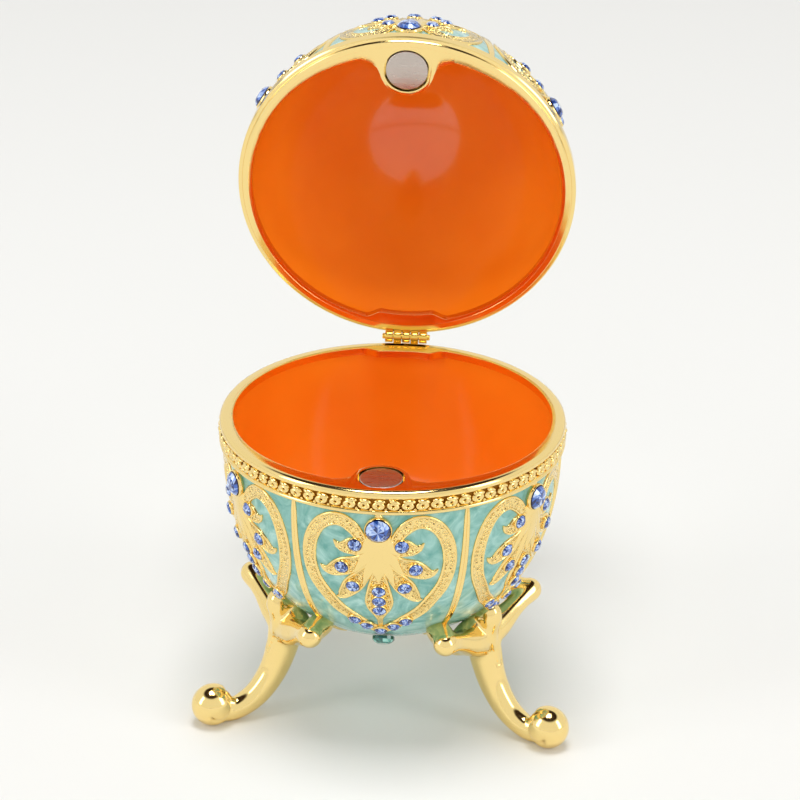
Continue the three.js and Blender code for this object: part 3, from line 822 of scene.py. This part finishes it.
@dataclass
class Relief:
    """The raised gold of one half: one panel laid out flat, then wrapped round the egg six times.

    A band narrower each way than full_half gets a lower, tighter section, and one narrower than
    stamped_half has no stamped floor.
    """

    half: HalfEgg
    full_half: float = 0.8
    stamped_half: float = 0.75
    stamp_inset: float = 0.4
    sharp_deg: float = 50

    def band(self, band: Band, mirror: int) -> bpy.types.Object:
        """Models a band in flat coordinates: degrees, distance along, lift.

        Args:
            band: The band.
            mirror: 1 or -1, for the side of the panel that it is on.

        Returns:
            The band, with the strip of its floor that is stamped.
        """
        stations = smooth_path([(x * MM_PER_DEG, y, w) for x, y, w in band.path], band.step)
        rows = band.section.value
        middle = len(rows)
        sides = 2 * middle + 1

        def shape(ring: int, corner: int) -> tuple[float, float]:
            """Shapes the band across.

            Args:
                ring: The ring's number.
                corner: The corner's number.

            Returns:
                The corner's distance across the band and its lift.
            """
            half_width = stations[ring][2]
            narrow = min(1.0, half_width / self.full_half)
            if corner == middle:
                return 0.0, band.middle_lift * narrow
            side = -1 if corner < middle else 1
            inset, lift = rows[corner if side < 0 else sides - 1 - corner]
            return (side * max(half_width - inset * narrow, 0.0),
                    lift if lift < 0 else lift * (0.4 + 0.6 * narrow))

        def place(ring: int, corner: int) -> Vector:
            """Places a corner, flat.

            Args:
                ring: The ring's number.
                corner: The corner's number.

            Returns:
                Its degrees, distance along and lift.
            """
            x, along, _ = stations[ring]
            ahead, behind = stations[min(ring + 1, len(stations) - 1)], stations[max(ring - 1, 0)]
            scale = self.half.degrees_per_mm(along)
            run = Vector(((ahead[0] - behind[0]) / MM_PER_DEG / scale, ahead[1] - behind[1]))
            run.normalize()
            across, lift = shape(ring, corner)
            return Vector((mirror * (x / MM_PER_DEG + run.y * across * scale),
                           along - run.x * across, lift))

        def stamp(ring: int, corner: int) -> tuple[float, float, float]:
            """Lays the stamped strip along the band.

            Args:
                ring: The ring's number.
                corner: The corner's number.

            Returns:
                The corner's place on the strip, and 1 on the punched floor.
            """
            floor = (band.section is Section.PUNCHED and abs(corner - middle) < 2
                     and stations[ring][2] > self.stamped_half)
            return ring * band.step, shape(ring, corner)[0] + self.stamp_inset, float(floor)

        return ringed_bar(band.name, sides, len(stations), place, stamp)

    def panel(self) -> bpy.types.Object:
        """Models one panel's bands, flat, with a rib on one side."""
        pieces = [self.band(RIB, 1)]
        for band in PANEL_BANDS:
            pieces += [self.band(band, side) for side in ((1, -1) if band.both_sides else (1,))]
        return joined(f"{self.half.name}_panel", pieces)

    def build(self) -> None:
        """Wraps six copies of the panel round the half."""
        flat = self.panel()
        panels = []
        for i in range(PANELS):
            panel = copied(flat, f"{self.half.name}_panel_{i}")
            for vertex in panel.data.vertices:
                x, along, lift = vertex.co
                vertex.co = self.half.point(x + i * PANEL_DEG, along, lift)
            panels.append(panel)
        bpy.data.objects.remove(flat)
        relief = joined(f"{self.half.name}_relief", panels)
        if self.half.sign > 0:
            relief.data.flip_normals()
        shade(relief, self.sharp_deg)
        self.half.dress(relief, GOLD, "gilt")


@dataclass
class RopeBand:
    """The cast rope round the bowl's rim: slanted beads over thick little links, grains below."""

    half: HalfEgg
    count: int = 76
    radius: float = 28.95
    bead_size: tuple[float, float, float] = (1.15, 0.55, 0.42)
    bead_slant_deg: float = 10
    bead_drop: float = 1.8
    bead_ahead: float = 0.1
    link_ring: tuple[float, float] = (0.58, 0.46)
    link_size: tuple[float, float, float] = (1.15, 0.78, 1.0)
    link_drop: float = 2.55
    grain_radius: float = 0.32
    grain_drop: float = 3.25
    grain_ahead: float = 0.5
    loose: float = 0.08
    tilt: float = 0.22
    twist: float = 0.15
    scale: tuple[float, float] = (0.9, 1.06)
    seed: int = 7
    sharp_deg: float = 60

    def masters(self) -> list[tuple[bpy.types.Object, float, float]]:
        """Models one bead, one link and one grain.

        Returns:
            Each with its drop under the rim and how far round from the link it sits, in links.
        """
        bead = started(bpy.ops.mesh.primitive_ico_sphere_add, "rope_bead", subdivisions=2, radius=1)
        bead.data.transform(Matrix.Rotation(math.radians(self.bead_slant_deg), 4, "Y")
                            @ Matrix.Diagonal((*self.bead_size, 1)))
        link = started(bpy.ops.mesh.primitive_torus_add, "rope_link", major_segments=14,
                       minor_segments=7, major_radius=self.link_ring[0],
                       minor_radius=self.link_ring[1])
        link.data.transform(Matrix.Rotation(math.pi / 2, 4, "X")
                            @ Matrix.Diagonal((*self.link_size, 1)))
        grain = started(bpy.ops.mesh.primitive_ico_sphere_add, "rope_grain", subdivisions=1,
                        radius=self.grain_radius)
        return [(bead, self.bead_drop, self.bead_ahead), (link, self.link_drop, 0.0),
                (grain, self.grain_drop, self.grain_ahead)]

    def build(self) -> None:
        """Copies the masters round, each a little out of true, as cast."""
        draw = random.Random(self.seed)
        masters = self.masters()
        pieces = []
        for i in range(self.count):
            for master, drop, ahead in masters:
                twin = copied(master, f"{master.name}_{i}")
                twin.data.transform(
                    Matrix.Rotation(2 * math.pi * (i + ahead) / self.count, 4, "Z")
                    @ Matrix.Translation(
                        (0, -self.radius - draw.uniform(-self.loose, self.loose), -drop))
                    @ Matrix.Rotation(draw.uniform(-self.tilt, self.tilt), 4, "Y")
                    @ Matrix.Rotation(draw.uniform(-self.twist, self.twist), 4, "Z")
                    @ Matrix.Scale(draw.uniform(*self.scale), 4))
                pieces.append(twin)
        for master, _, _ in masters:
            bpy.data.objects.remove(master)
        rope = joined("bowl_rope_band", pieces)
        shade(rope, self.sharp_deg)
        self.half.dress(rope, GOLD, "gilt")


# ---------------------------------------------------------------- stones
@dataclass
class Stones:
    """The round cut stones of one half, each in a thin gold seat.

    A stone's spot is its degrees round, its distance along and its radius.
    """

    half: HalfEgg
    big: tuple[float, float, float] = (0, 3.15, 2.0)
    row: Path = ((0, 15.7, 1.1), (0, 18.1, 1.1), (0, 20.5, 1.1))
    pairs: Path = ((7.75, 6.3, 1.12), (12.6, 11.0, 1.12), (9.1, 14.9, 1.12), (10.5, 24.0, 1.05),
                   (5.75, 25.7, 1.05))
    tip: tuple[float, float, float] = (0, 27.5, 1.05)
    drops: Path = ()
    big_lift: float = 0.62
    row_lift: float = 0.42
    small_lift: float = 0.38
    drop_lift: float = 0.45
    seat_lift: float = 0.22
    cuts: tuple[tuple[float, float], ...] = ((0.24, 0.25), (0.22, 0.1))
    sharp_deg: float = 60

    @property
    def small(self) -> list[tuple[float, ...]]:
        """Spots of the leaf and heart stones in a panel, left and right in turn."""
        return [(side * turn, along, radius) for turn, along, radius in self.pairs
                for side in (1, -1)] + [self.tip]

    def cut(self) -> bpy.types.Object:
        """Cuts one stone of radius 1: a girdle, a crown and a table with a star.

        Returns:
            The stone.
        """
        stone = started(bpy.ops.mesh.primitive_cylinder_add, "cut_stone", vertices=16, radius=1,
                        depth=0.3)
        with editing(stone) as mesh:
            select_only(mesh, [f for f in mesh.faces if f.normal.z > 0.9])
            for inset, rise in self.cuts:
                bpy.ops.mesh.inset(thickness=inset)
                bpy.ops.transform.translate(value=(0, 0, rise))
            bpy.ops.mesh.poke()
            bpy.ops.mesh.select_all(action="SELECT")
            bpy.ops.mesh.quads_convert_to_tris()
        return stone

    def seat(self) -> bpy.types.Object:
        """Models one stone seat of radius 1: a thin ring with a rounded lip."""
        ring = started(bpy.ops.mesh.primitive_torus_add, "stone_seat", major_segments=24,
                       minor_segments=8, major_radius=1.07, minor_radius=0.1)
        ring.data.transform(Matrix.Diagonal((1, 1, 2.6, 1)))
        return ring

    def standing(self, master: bpy.types.Object, name: str, spot: Sequence[float], panel: int,
                 lift: float, seed: int | None = None) -> bpy.types.Object:
        """Copies a master on to the egg at a spot.

        Args:
            master: A stone or a seat of radius 1.
            name: The copy's name.
            spot: Degrees, distance along and radius.
            panel: Which panel it is in.
            lift: Height of its middle over the surface.
            seed: For a stone, what its facets' painted glints are drawn from.

        Returns:
            The copy, in the half's own place.
        """
        degrees, along, radius = spot
        twin = copied(master, name)
        twin.data.transform(self.half.axes(degrees + panel * PANEL_DEG, along)
                            @ Matrix.Translation((0, 0, lift)) @ Matrix.Scale(radius, 4))
        # Painted glints: each upward facet gets a random tone plus a three-fold sweep round the stone;
        # the rest stay darkest.
        if seed is not None:
            draw = random.Random(seed)
            turned = draw.random() * 6.28
            facet_glints = []
            for face in master.data.polygons:
                glint_swing = 0.5 + 0.5 * math.sin(3 * math.atan2(face.center.y, face.center.x) + turned)
                facet_glints.append(0.6 * draw.random() + 0.4 * glint_swing if face.normal.z > 0.2 else 0.0)
            set_attribute(twin, "facet", "FACE", facet_glints)
        return twin

    def build(self) -> None:
        """Sets every stone and seat of the half."""
        half = self.half
        stone, seat = self.cut(), self.seat()
        seats, loose = [], []
        for i in range(PANELS):
            big = self.standing(stone, f"{half.name}_round_stone_{i + 1}", self.big, i,
                                self.big_lift, seed=i)
            half.dress(big, SAPPHIRE, "cut_stone", [f"{half.name}_stone_{i + 1}"])
            row = joined(f"{half.name}_petal_stones_{i + 1}", [
                self.standing(stone, "petal_stone", spot, i, self.row_lift, seed=100 + 10 * i + k)
                for k, spot in enumerate(self.row)])
            half.dress(row, SAPPHIRE, "cut_stone", [f"{half.name}_stone_row_{i + 1}"])
            loose += [
                self.standing(stone, "leaf_stone", spot, i, self.small_lift, seed=1000 + 20 * i + k)
                for k, spot in enumerate(self.small)]
            seats += [self.standing(seat, "seat", spot, i, self.seat_lift)
                      for spot in (self.big, *self.row, *self.small)]
        # Drop stones: blue glass painted teal as a reflection of the aqua enamel, with painted glints.
        for i, spot in enumerate(self.drops):
            drop = self.standing(stone, f"{half.name}_drop_stone_{i + 1}", spot, 0, self.drop_lift,
                                 seed=500 + i)
            half.dress(drop, ENAMEL_REFLECTION_GLASS, "cut_stone")
        half.dress(joined(f"{half.name}_small_stones", loose), SAPPHIRE, "cut_stone")
        settings = joined(f"{half.name}_stone_seats", seats)
        shade(settings, self.sharp_deg)
        half.dress(settings, GOLD, "gilt")
        for master in (stone, seat):
            bpy.data.objects.remove(master)


# ---------------------------------------------------------------- legs
@dataclass
class Leg:
    """A cast leg: a curved stem, three claws on the egg and a scrolled foot, in its own plane.

    Points are (reach, side, height over the seam, radius).
    """

    name: str
    azimuth: float
    head_turn: float = 0.0
    stem: Path = (
        (18.9, 0, -34.6, 3.1), (19.4, 0, -38, 3.0), (20.2, 0, -41.6, 2.75), (21.9, 0, -45.8, 2.45),
        (24.8, 0, -49.6, 2.2), (28.6, 0, -51.7, 2.0), (32, 0, -52.1, 1.5))
    side_claw: Path = (
        (19.2, 0.6, -36.6, 3.0), (20, 4, -35.4, 2.5), (20.5, 7.6, -33.6, 1.85),
        (20.8, 10.4, -32.4, 1.8), (20.8, 12.1, -31.9, 2.15))
    top_claw: Path = (
        (19.8, 0, -36.8, 2.8), (20.7, 0, -34.2, 2.0), (21.3, 0, -31.6, 2.1), (21.3, 0, -30.9, 1.9))
    side_root: Path = (
        (20.6, 11.6, -31.9, 2.0), (19.2, 10.8, -31.6, 2.1), (17.6, 9.9, -31.4, 2.1))
    top_root: Path = ((21.0, 0, -31.8, 1.95), (19.8, 0, -32, 2.1), (18.4, 0, -32.2, 2.3))
    web: tuple[float, float, float] = (18.9, 0, -35.2)
    web_size: tuple[float, float, float] = (2.6, 8.6, 3.2)
    foot: tuple[float, float, float] = (32.7, 0, -50.05)
    foot_size: tuple[float, float, float] = (3.75, 3.45, 3.75)
    groove_width: float = 0.42
    groove_depth: float = 0.9
    groove_start: float = 3.35
    groove_curl: float = 2.2
    groove_from_deg: float = 125
    groove_lap_deg: float = 225
    chased_reach: float = 19.5
    chased_from: float = -41.2
    chased_height: float = 5.4
    chased_width: float = 0.28
    chased_depth: float = 0.3
    tip_gap: float = 0.35
    lobe_half: float = 2.1
    dome: tuple[float, ...] = (0.35, 0.65, 0.87, 0.98)
    step: float = 0.8
    sides: int = 20
    melting: int = 14
    voxel: float = 0.26

    def bar(self, name: str, path: Path, mirror: int = 1) -> bpy.types.Object:
        """Models a round bar of changing radius with a domed end.

        Args:
            name: The bar's name.
            path: Points of reach, side, height and radius.
            mirror: 1 or -1, for the side that it goes to.

        Returns:
            The bar.
        """
        stations = smooth_path([(p[0], p[2], p[1] * mirror, p[3]) for p in path], self.step)
        level = Vector((1, 0, 0)) if any(p[1] for p in path) else Vector((0, 1, 0))
        behind, last = stations[-2:]
        end = [last[k] - behind[k] for k in range(3)]
        scale = last[3] / math.hypot(*end)
        for part in self.dome:
            stations.append((*(last[k] + end[k] * scale * part for k in range(3)),
                             last[3] * math.sqrt(1 - part * part)))

        def place(ring: int, corner: int) -> Vector:
            """Places a corner round the bar's middle line.

            Args:
                ring: The ring's number.
                corner: The corner's number.

            Returns:
                Its point.
            """
            here, ahead = stations[ring], stations[min(ring + 1, len(stations) - 1)]
            back = stations[max(ring - 1, 0)]
            along = Vector((ahead[0] - back[0], ahead[2] - back[2], ahead[1] - back[1]))
            along.normalize()
            second = along.cross(level).normalized()
            first = second.cross(along)
            turn = 2 * math.pi * corner / self.sides
            return (Vector((here[0], here[2], here[1]))
                    + here[3] * (first * math.cos(turn) + second * math.sin(turn)))

        return ringed_bar(name, self.sides, len(stations), place)

    def ball(self, name: str, centre: Sequence[float], radii: Sequence[float]) -> bpy.types.Object:
        """Adds a ball squashed to three radii, in reach, side and height."""
        ball = started(bpy.ops.mesh.primitive_uv_sphere_add, name, segments=32, ring_count=20,
                       radius=1)
        ball.data.transform(Matrix.Translation(centre) @ Matrix.Diagonal((*radii, 1)))
        return ball

    def scroll(self, piece: bpy.types.Object) -> None:
        """Presses the scroll's groove into the foot's flanks and levels its underside.

        The groove starts deep where the stem meets the foot's top, runs down between them and curls
        in under the eye, ever shallower.

        Args:
            piece: The leg, in its own plane.
        """
        for vertex in piece.data.vertices:
            x, z = vertex.co.x - self.foot[0], vertex.co.z - self.foot[2]
            far = math.hypot(x, z)
            if far < self.foot_size[0] * 1.15:
                turn = (math.degrees(math.atan2(z, x)) - self.groove_from_deg) % 360
                lap = min(turn / self.groove_lap_deg, 1)
                groove = self.groove_start - self.groove_curl * lap ** 1.5
                fade = min(1, (1 - lap) * 3) * min(1, turn / 8)
                press = fade * math.exp(-((far - groove) / self.groove_width) ** 2)
                vertex.co -= self.groove_depth * press * Vector((x, vertex.co.y, z)).normalized()
            vertex.co.z = max(vertex.co.z, FLOOR)

    def chase(self, piece: bpy.types.Object) -> None:
        """Chases the lobe's outline into the head: two lines that close to a point down the stem.

        Args:
            piece: The leg, in its own plane.
        """
        for vertex in piece.data.vertices:
            up = (vertex.co.z - self.chased_from) / self.chased_height
            if vertex.co.x > self.chased_reach and 0 < up < 1:
                line = self.tip_gap + self.lobe_half * up ** 0.8
                cut = math.exp(-((abs(vertex.co.y) - line) / self.chased_width) ** 2)
                vertex.co.x -= self.chased_depth * min(1, 4 * (1 - up)) * cut

    def build(self) -> None:
        """Models the leg, melts its bars into one casting and stands it under the egg."""
        head = joined("leg_head", [
            self.bar("claw_a", self.side_claw), self.bar("claw_b", self.side_claw, -1),
            self.bar("claw_top", self.top_claw), self.bar("root_a", self.side_root),
            self.bar("root_b", self.side_root, -1), self.bar("root_top", self.top_root),
            self.ball("web", self.web, self.web_size)])
        head.data.transform(Matrix.Rotation(math.radians(self.head_turn), 4, "Z"))
        leg = joined(f"{self.name}_cast", [
            head, self.bar("stem", self.stem), self.ball("scroll_ball", self.foot, self.foot_size)])
        modified(leg, "REMESH", mode="VOXEL", voxel_size=self.voxel)
        modified(leg, "SMOOTH", factor=0.5, iterations=self.melting)
        self.scroll(leg)
        self.chase(leg)
        modified(leg, "SMOOTH", factor=0.5, iterations=2)
        leg.data.transform(Matrix.Rotation(math.radians(self.azimuth - 90), 4, "Z"))
        pick(leg)
        bpy.ops.object.shade_smooth()
        BOWL.dress(leg, GOLD, "gilt", [self.name])


# ---------------------------------------------------------------- hinge and catch
@dataclass
class Hinge:
    """The brass butt hinge: two leaves rolled round one pin."""

    knuckle: float = 1.1
    knuckles: int = 5
    pitch: float = 1.5
    width: float = 1.36
    leaf_in: float = 25.5
    leaf_out: float = 28.4
    tongue_in: float = 28.3
    thick: float = 0.45
    play: float = 0.14
    high_lift: float = 0.15
    bevel: float = 0.09
    pin: float = 0.5
    pin_over: float = 0.9
    pin_bevel: float = 0.15
    sharp_deg: float = 40

    def plate(self, name: str, x: float, width: float, span: tuple[float, float],
              bottom: float) -> bpy.types.Object:
        """Cuts a rectangle of the leaf's sheet.

        Args:
            name: Its name.
            x: Its middle, along the pin.
            width: Its width, along the pin.
            span: Where it starts and ends, out from the egg's axis.
            bottom: Height of its underside over the bowl's rim.

        Returns:
            The plate.
        """
        plate = started(bpy.ops.mesh.primitive_cube_add, name, size=1)
        plate.data.transform(Matrix.Translation((x, sum(span) / 2, bottom + self.thick / 2))
                             @ Matrix.Diagonal((width, span[1] - span[0], self.thick, 1)))
        return plate

    def rod(self, name: str, x: float, radius: float, length: float,
            sides: int) -> bpy.types.Object:
        """Adds a rod on the hinge's line.

        Args:
            name: Its name.
            x: Its middle, along the line.
            radius: Its radius.
            length: Its length.
            sides: How many sides it has.

        Returns:
            The rod.
        """
        rod = started(bpy.ops.mesh.primitive_cylinder_add, name, vertices=sides, radius=radius,
                      depth=length)
        rod.data.transform(Matrix.Translation((x, HINGE_Y, HINGE_Z))
                           @ Matrix.Rotation(math.pi / 2, 4, "Y"))
        return rod

    def leaf(self, name: str, bottom: float, own: Sequence[int]) -> bpy.types.Object:
        """Models one leaf with its knuckles.

        Args:
            name: The leaf's name.
            bottom: Height of the leaf's underside over the bowl's rim.
            own: Which knuckles are its own.

        Returns:
            The leaf, in the bowl's own place with the lid shut.
        """
        pieces = [self.plate("leaf_plate", 0, self.pitch * self.knuckles - self.play,
                             (self.leaf_in, self.leaf_out), bottom)]
        for index in own:
            x = (index - (self.knuckles - 1) / 2) * self.pitch
            pieces.append(self.rod("knuckle", x, self.knuckle, self.width, 28))
            pieces.append(self.plate("tongue", x, self.width, (self.tongue_in, HINGE_Y), bottom))
        leaf = joined(name, pieces)
        modified(leaf, "BEVEL", width=self.bevel, segments=2, limit_method="ANGLE")
        shade(leaf, self.sharp_deg)
        return leaf

    def build(self) -> None:
        """Models both leaves and the pin."""
        low = self.leaf("hinge_leaf_low", HINGE_Z - self.knuckle, [1, 3])
        BOWL.dress(low, BRASS, "hinge_brass", ["hinge_leaf_bowl"])
        high = self.leaf("hinge_leaf_high", HINGE_Z - self.thick / 2 + self.high_lift, [0, 2, 4])
        high.data.transform(Matrix.Translation((0, 0, -LID_GAP)))
        LID.dress(high, BRASS, "hinge_brass", ["hinge_leaf_lid"])
        length = self.pitch * self.knuckles + self.pin_over
        pin = self.rod("hinge_pin_rod", 0, self.pin, length, 20)
        modified(pin, "BEVEL", width=self.pin_bevel, segments=3, limit_method="ANGLE")
        shade(pin, self.sharp_deg)
        BOWL.dress(pin, BRASS, "hinge_brass", ["hinge_pin"])


@dataclass
class RimPlate:
    """A rim's flat inner ledge: it widens into the magnet's tongue in front and a hinge tab.

    The inner edge is rounded by rows of (back from the edge, depth).
    """

    half: HalfEgg
    reach: float
    lip: float
    outer: float = 28.2
    nose: float = 4.6
    pocket: float = 3.9
    pocket_depth: float = 2.1
    crescent: float = 1.2
    crescent_deg: float = 65
    flank_deg: float = 6.5
    tab: float = 1.6
    tab_half: float = 4.6
    tab_flank: float = 2.8
    ledge_thick: float = 1.3
    tongue_thick: float = 2.9
    rounding: Path = ((0.2, 0.02), (0.04, 0.07), (0.0, 0.22))
    steps: int = 12
    sharp_deg: float = 35

    def ledge(self, degrees: float) -> float:
        """The ledge's inner radius away from the tongue.

        Args:
            degrees: Angle from the front, up to 180.

        Returns:
            The radius.
        """
        inward = self.crescent * 0.5 * (1 + math.cos(math.pi * min(degrees / self.crescent_deg, 1)))
        side = math.radians(180 - degrees) * self.lip
        ramp = min(max((self.tab_half + self.tab_flank - side) / self.tab_flank, 0), 1)
        return self.lip - inward - self.tab * ramp * ramp * (3 - 2 * ramp)

    def edge(self) -> list[tuple[float, float, float]]:
        """Half of the plate's inner edge, from the front round to the hinge.

        Returns:
            Rows of degrees, radius and thickness.
        """
        tangent = math.degrees(math.asin(self.nose / self.reach))
        rows = []
        for i in range(self.steps + 1):
            turn = math.radians((90 - tangent) * i / self.steps)
            x, y = self.nose * math.sin(turn), self.reach - self.nose * math.cos(turn)
            rows.append((math.degrees(math.atan2(x, y)), math.hypot(x, y), self.tongue_thick))
        start = rows[-1][1]
        for i in range(1, self.steps + 1):
            part = i / self.steps
            turn = tangent + self.flank_deg * i / self.steps
            rows.append((turn, start + (self.ledge(turn) - start) * part ** 0.4,
                         self.tongue_thick + (self.ledge_thick - self.tongue_thick) * part))
        first = math.ceil(tangent + self.flank_deg + 0.5)
        turns = [*range(first, 160, 2), *range(160, 181)]
        return rows + [(float(turn), self.ledge(turn), self.ledge_thick) for turn in turns]

    def build(self) -> None:
        """Models the plate with its rounded inner edge and the magnet's pocket."""
        half_edge = self.edge()
        ring = half_edge + [(-turn, radius, thick) for turn, radius, thick in half_edge[-2:0:-1]]
        corners = len(self.rounding) + 3
        top = self.rounding[0][1]
        plate = started(bpy.ops.mesh.primitive_torus_add, f"{self.half.name}_rim_plate",
                        major_segments=len(ring), minor_segments=corners)
        for vertex in plate.data.vertices:
            turn, inner, thick = ring[vertex.index // corners]
            rows = ((self.outer, top), *((inner + back, deep) for back, deep in self.rounding),
                    (inner, thick), (self.outer, thick))
            radius, depth = rows[vertex.index % corners]
            x, y = math.sin(math.radians(turn)), -math.cos(math.radians(turn))
            vertex.co = (radius * x, radius * y, self.half.sign * depth)
        tidy_normals(plate)
        drill = started(bpy.ops.mesh.primitive_cylinder_add, "pocket_drill", vertices=64,
                        radius=self.pocket, depth=2 * self.pocket_depth,
                        location=(0, -self.reach, 0))
        modified(plate, "BOOLEAN", operation="DIFFERENCE", object=drill, solver="EXACT")
        bpy.data.objects.remove(drill)
        shade(plate, self.sharp_deg)
        self.half.dress(plate, GOLD, "enamelled_gilt")


@dataclass
class Magnet:
    """A disc magnet in its pocket."""

    half: HalfEgg
    reach: float
    node: str
    radius: float = 3.6
    thick: float = 1.7
    sunk: float = 0.1
    bevel: float = 0.18
    sharp_deg: float = 35

    def build(self) -> None:
        """Models the disc with its rounded edge."""
        disc = started(bpy.ops.mesh.primitive_cylinder_add, f"{self.half.name}_magnet_disc",
                       vertices=64, radius=self.radius, depth=self.thick)
        disc.data.transform(Matrix.Translation(
            (0, -self.reach, self.half.sign * (self.sunk + self.thick / 2))))
        modified(disc, "BEVEL", width=self.bevel, segments=3, limit_method="ANGLE")
        shade(disc, self.sharp_deg)
        self.half.dress(disc, NICKEL, "magnet_nickel", [self.node])


# ---------------------------------------------------------------- studio
@dataclass
class Studio:
    """Pale floor, soft lights, a white tent and the camera."""

    distance: float = 580.4
    elevation: float = 25.93
    azimuth: float = 4.247
    pitch: float = 0.23
    yaw: float = 0.119
    roll: float = 0.652
    lens: float = 154.6
    aim: tuple[float, float, float] = (0, 0, 0.05)
    softboxes: tuple[tuple, ...] = (
        ("softbox_top", (0.45, 0.45), 7, (0.0, -0.1, 1.1)),
        ("softbox_left", (0.3, 0.7), 2.2, (-0.9, -0.5, 0.5)),
        ("softbox_right", (0.3, 0.7), 2.0, (0.9, -0.4, 0.45)))
    cloth: str = "#FAFAF8"
    opening: str = "#2E1D10"
    opening_rise: tuple[float, float] = (0.72, 0.8)
    tent_strength: float = 0.95

    def floor(self) -> None:
        """Lays a large sheet of white paper."""
        sheet = started(bpy.ops.mesh.primitive_plane_add, "studio_floor", size=6)
        sheet.data.materials.append(PAPER.make())

    def light(self, name: str, size: tuple[float, float], power: float,
              at: tuple[float, float, float]) -> None:
        """Hangs a softbox.

        Args:
            name: The light's name.
            size: Width and height in metres.
            power: Watts.
            at: Where it hangs.
        """
        lamp = bpy.data.lights.new(name, "AREA")
        lamp.shape = "RECTANGLE"
        lamp.size, lamp.size_y = size
        lamp.energy = power
        holder = bpy.data.objects.new(name, lamp)
        holder.location = at
        facing = Vector(self.aim) - Vector(at)
        holder.rotation_euler = facing.to_track_quat("-Z", "Y").to_euler()
        bpy.context.collection.objects.link(holder)

    def camera(self) -> None:
        """Sets the camera where the object is seen from."""
        rise, turn = math.radians(self.elevation), math.radians(self.azimuth)
        back = Vector((math.sin(turn) * math.cos(rise), -math.cos(turn) * math.cos(rise),
                       math.sin(rise)))
        right = (-back).cross(Vector((0, 0, 1))).normalized()
        up = right.cross(-back)
        pitch, yaw, roll = (math.radians(v) for v in (self.pitch, self.yaw, self.roll))
        ahead = (-back * math.cos(yaw) * math.cos(pitch) + right * math.sin(yaw) * math.cos(pitch)
                 + up * math.sin(pitch))
        right = ahead.cross(up).normalized()
        up = right.cross(ahead)
        level = right * math.cos(roll) + up * math.sin(roll)
        upright = -right * math.sin(roll) + up * math.cos(roll)
        data = bpy.data.cameras.new("camera")
        data.lens = self.lens
        data.sensor_width = 36
        data.clip_start = 0.05
        holder = bpy.data.objects.new("camera", data)
        matrix = Matrix((level, upright, -ahead)).transposed().to_4x4()
        matrix.translation = STAND @ (back * self.distance)
        holder.matrix_world = matrix
        bpy.context.collection.objects.link(holder)
        bpy.context.scene.camera = holder

    def tent(self) -> None:
        """Surrounds the box with white walls that end in a dark opening overhead."""
        world = bpy.data.worlds.new("tent")
        world.use_nodes = True
        tree = world.node_tree
        ray = add_node(tree, "TexCoord").outputs["Generated"]
        height = add_node(tree, "SeparateXYZ", {"Vector": ray}).outputs["Z"]
        opening = add_node(tree, "MapRange", {"Value": height, "From Min": self.opening_rise[0],
                                              "From Max": self.opening_rise[1]})
        cloth = add_node(tree, "Mix", {"Factor": opening.outputs["Result"],
                                       MIX_FIRST: linear(self.cloth),
                                       MIX_SECOND: linear(self.opening)}, data_type="RGBA")
        background = tree.nodes["Background"]
        tree.links.new(cloth.outputs[MIX_RESULT], background.inputs["Color"])
        background.inputs["Strength"].default_value = self.tent_strength
        bpy.context.scene.world = world

    def build(self) -> None:
        """Sets up floor, lights, tent and camera."""
        self.floor()
        for softbox in self.softboxes:
            self.light(*softbox)
        self.tent()
        bpy.context.scene.view_settings.view_transform = "Standard"
        self.camera()


def main() -> None:
    """Builds the box's looks and its studio, and writes how big they are."""
    logging.basicConfig(level=logging.INFO, format="%(message)s")
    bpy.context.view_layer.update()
    for half in (BOWL, LID):
        Shell(half).build()
        Relief(half).build()
    Stones(BOWL, drops=((0.5, 32.6, 1.9), (120.5, 32.6, 1.9), (240.5, 32.6, 1.9))).build()
    Stones(LID).build()
    RopeBand(BOWL).build()
    for name, azimuth, head_turn in (("leg_right", 60, -3), ("leg_back", 180, 0),
                                     ("leg_left", -64, 4)):
        Leg(name, azimuth, head_turn).build()
    Hinge().build()
    RimPlate(BOWL, reach=23.8, lip=26.95).build()
    Magnet(BOWL, 23.8, "magnet_bowl").build()
    RimPlate(LID, reach=22.8, lip=26.75).build()
    Magnet(LID, 22.8, "magnet_lid").build()
    Studio().build()


if __name__ == "__main__":
    main()
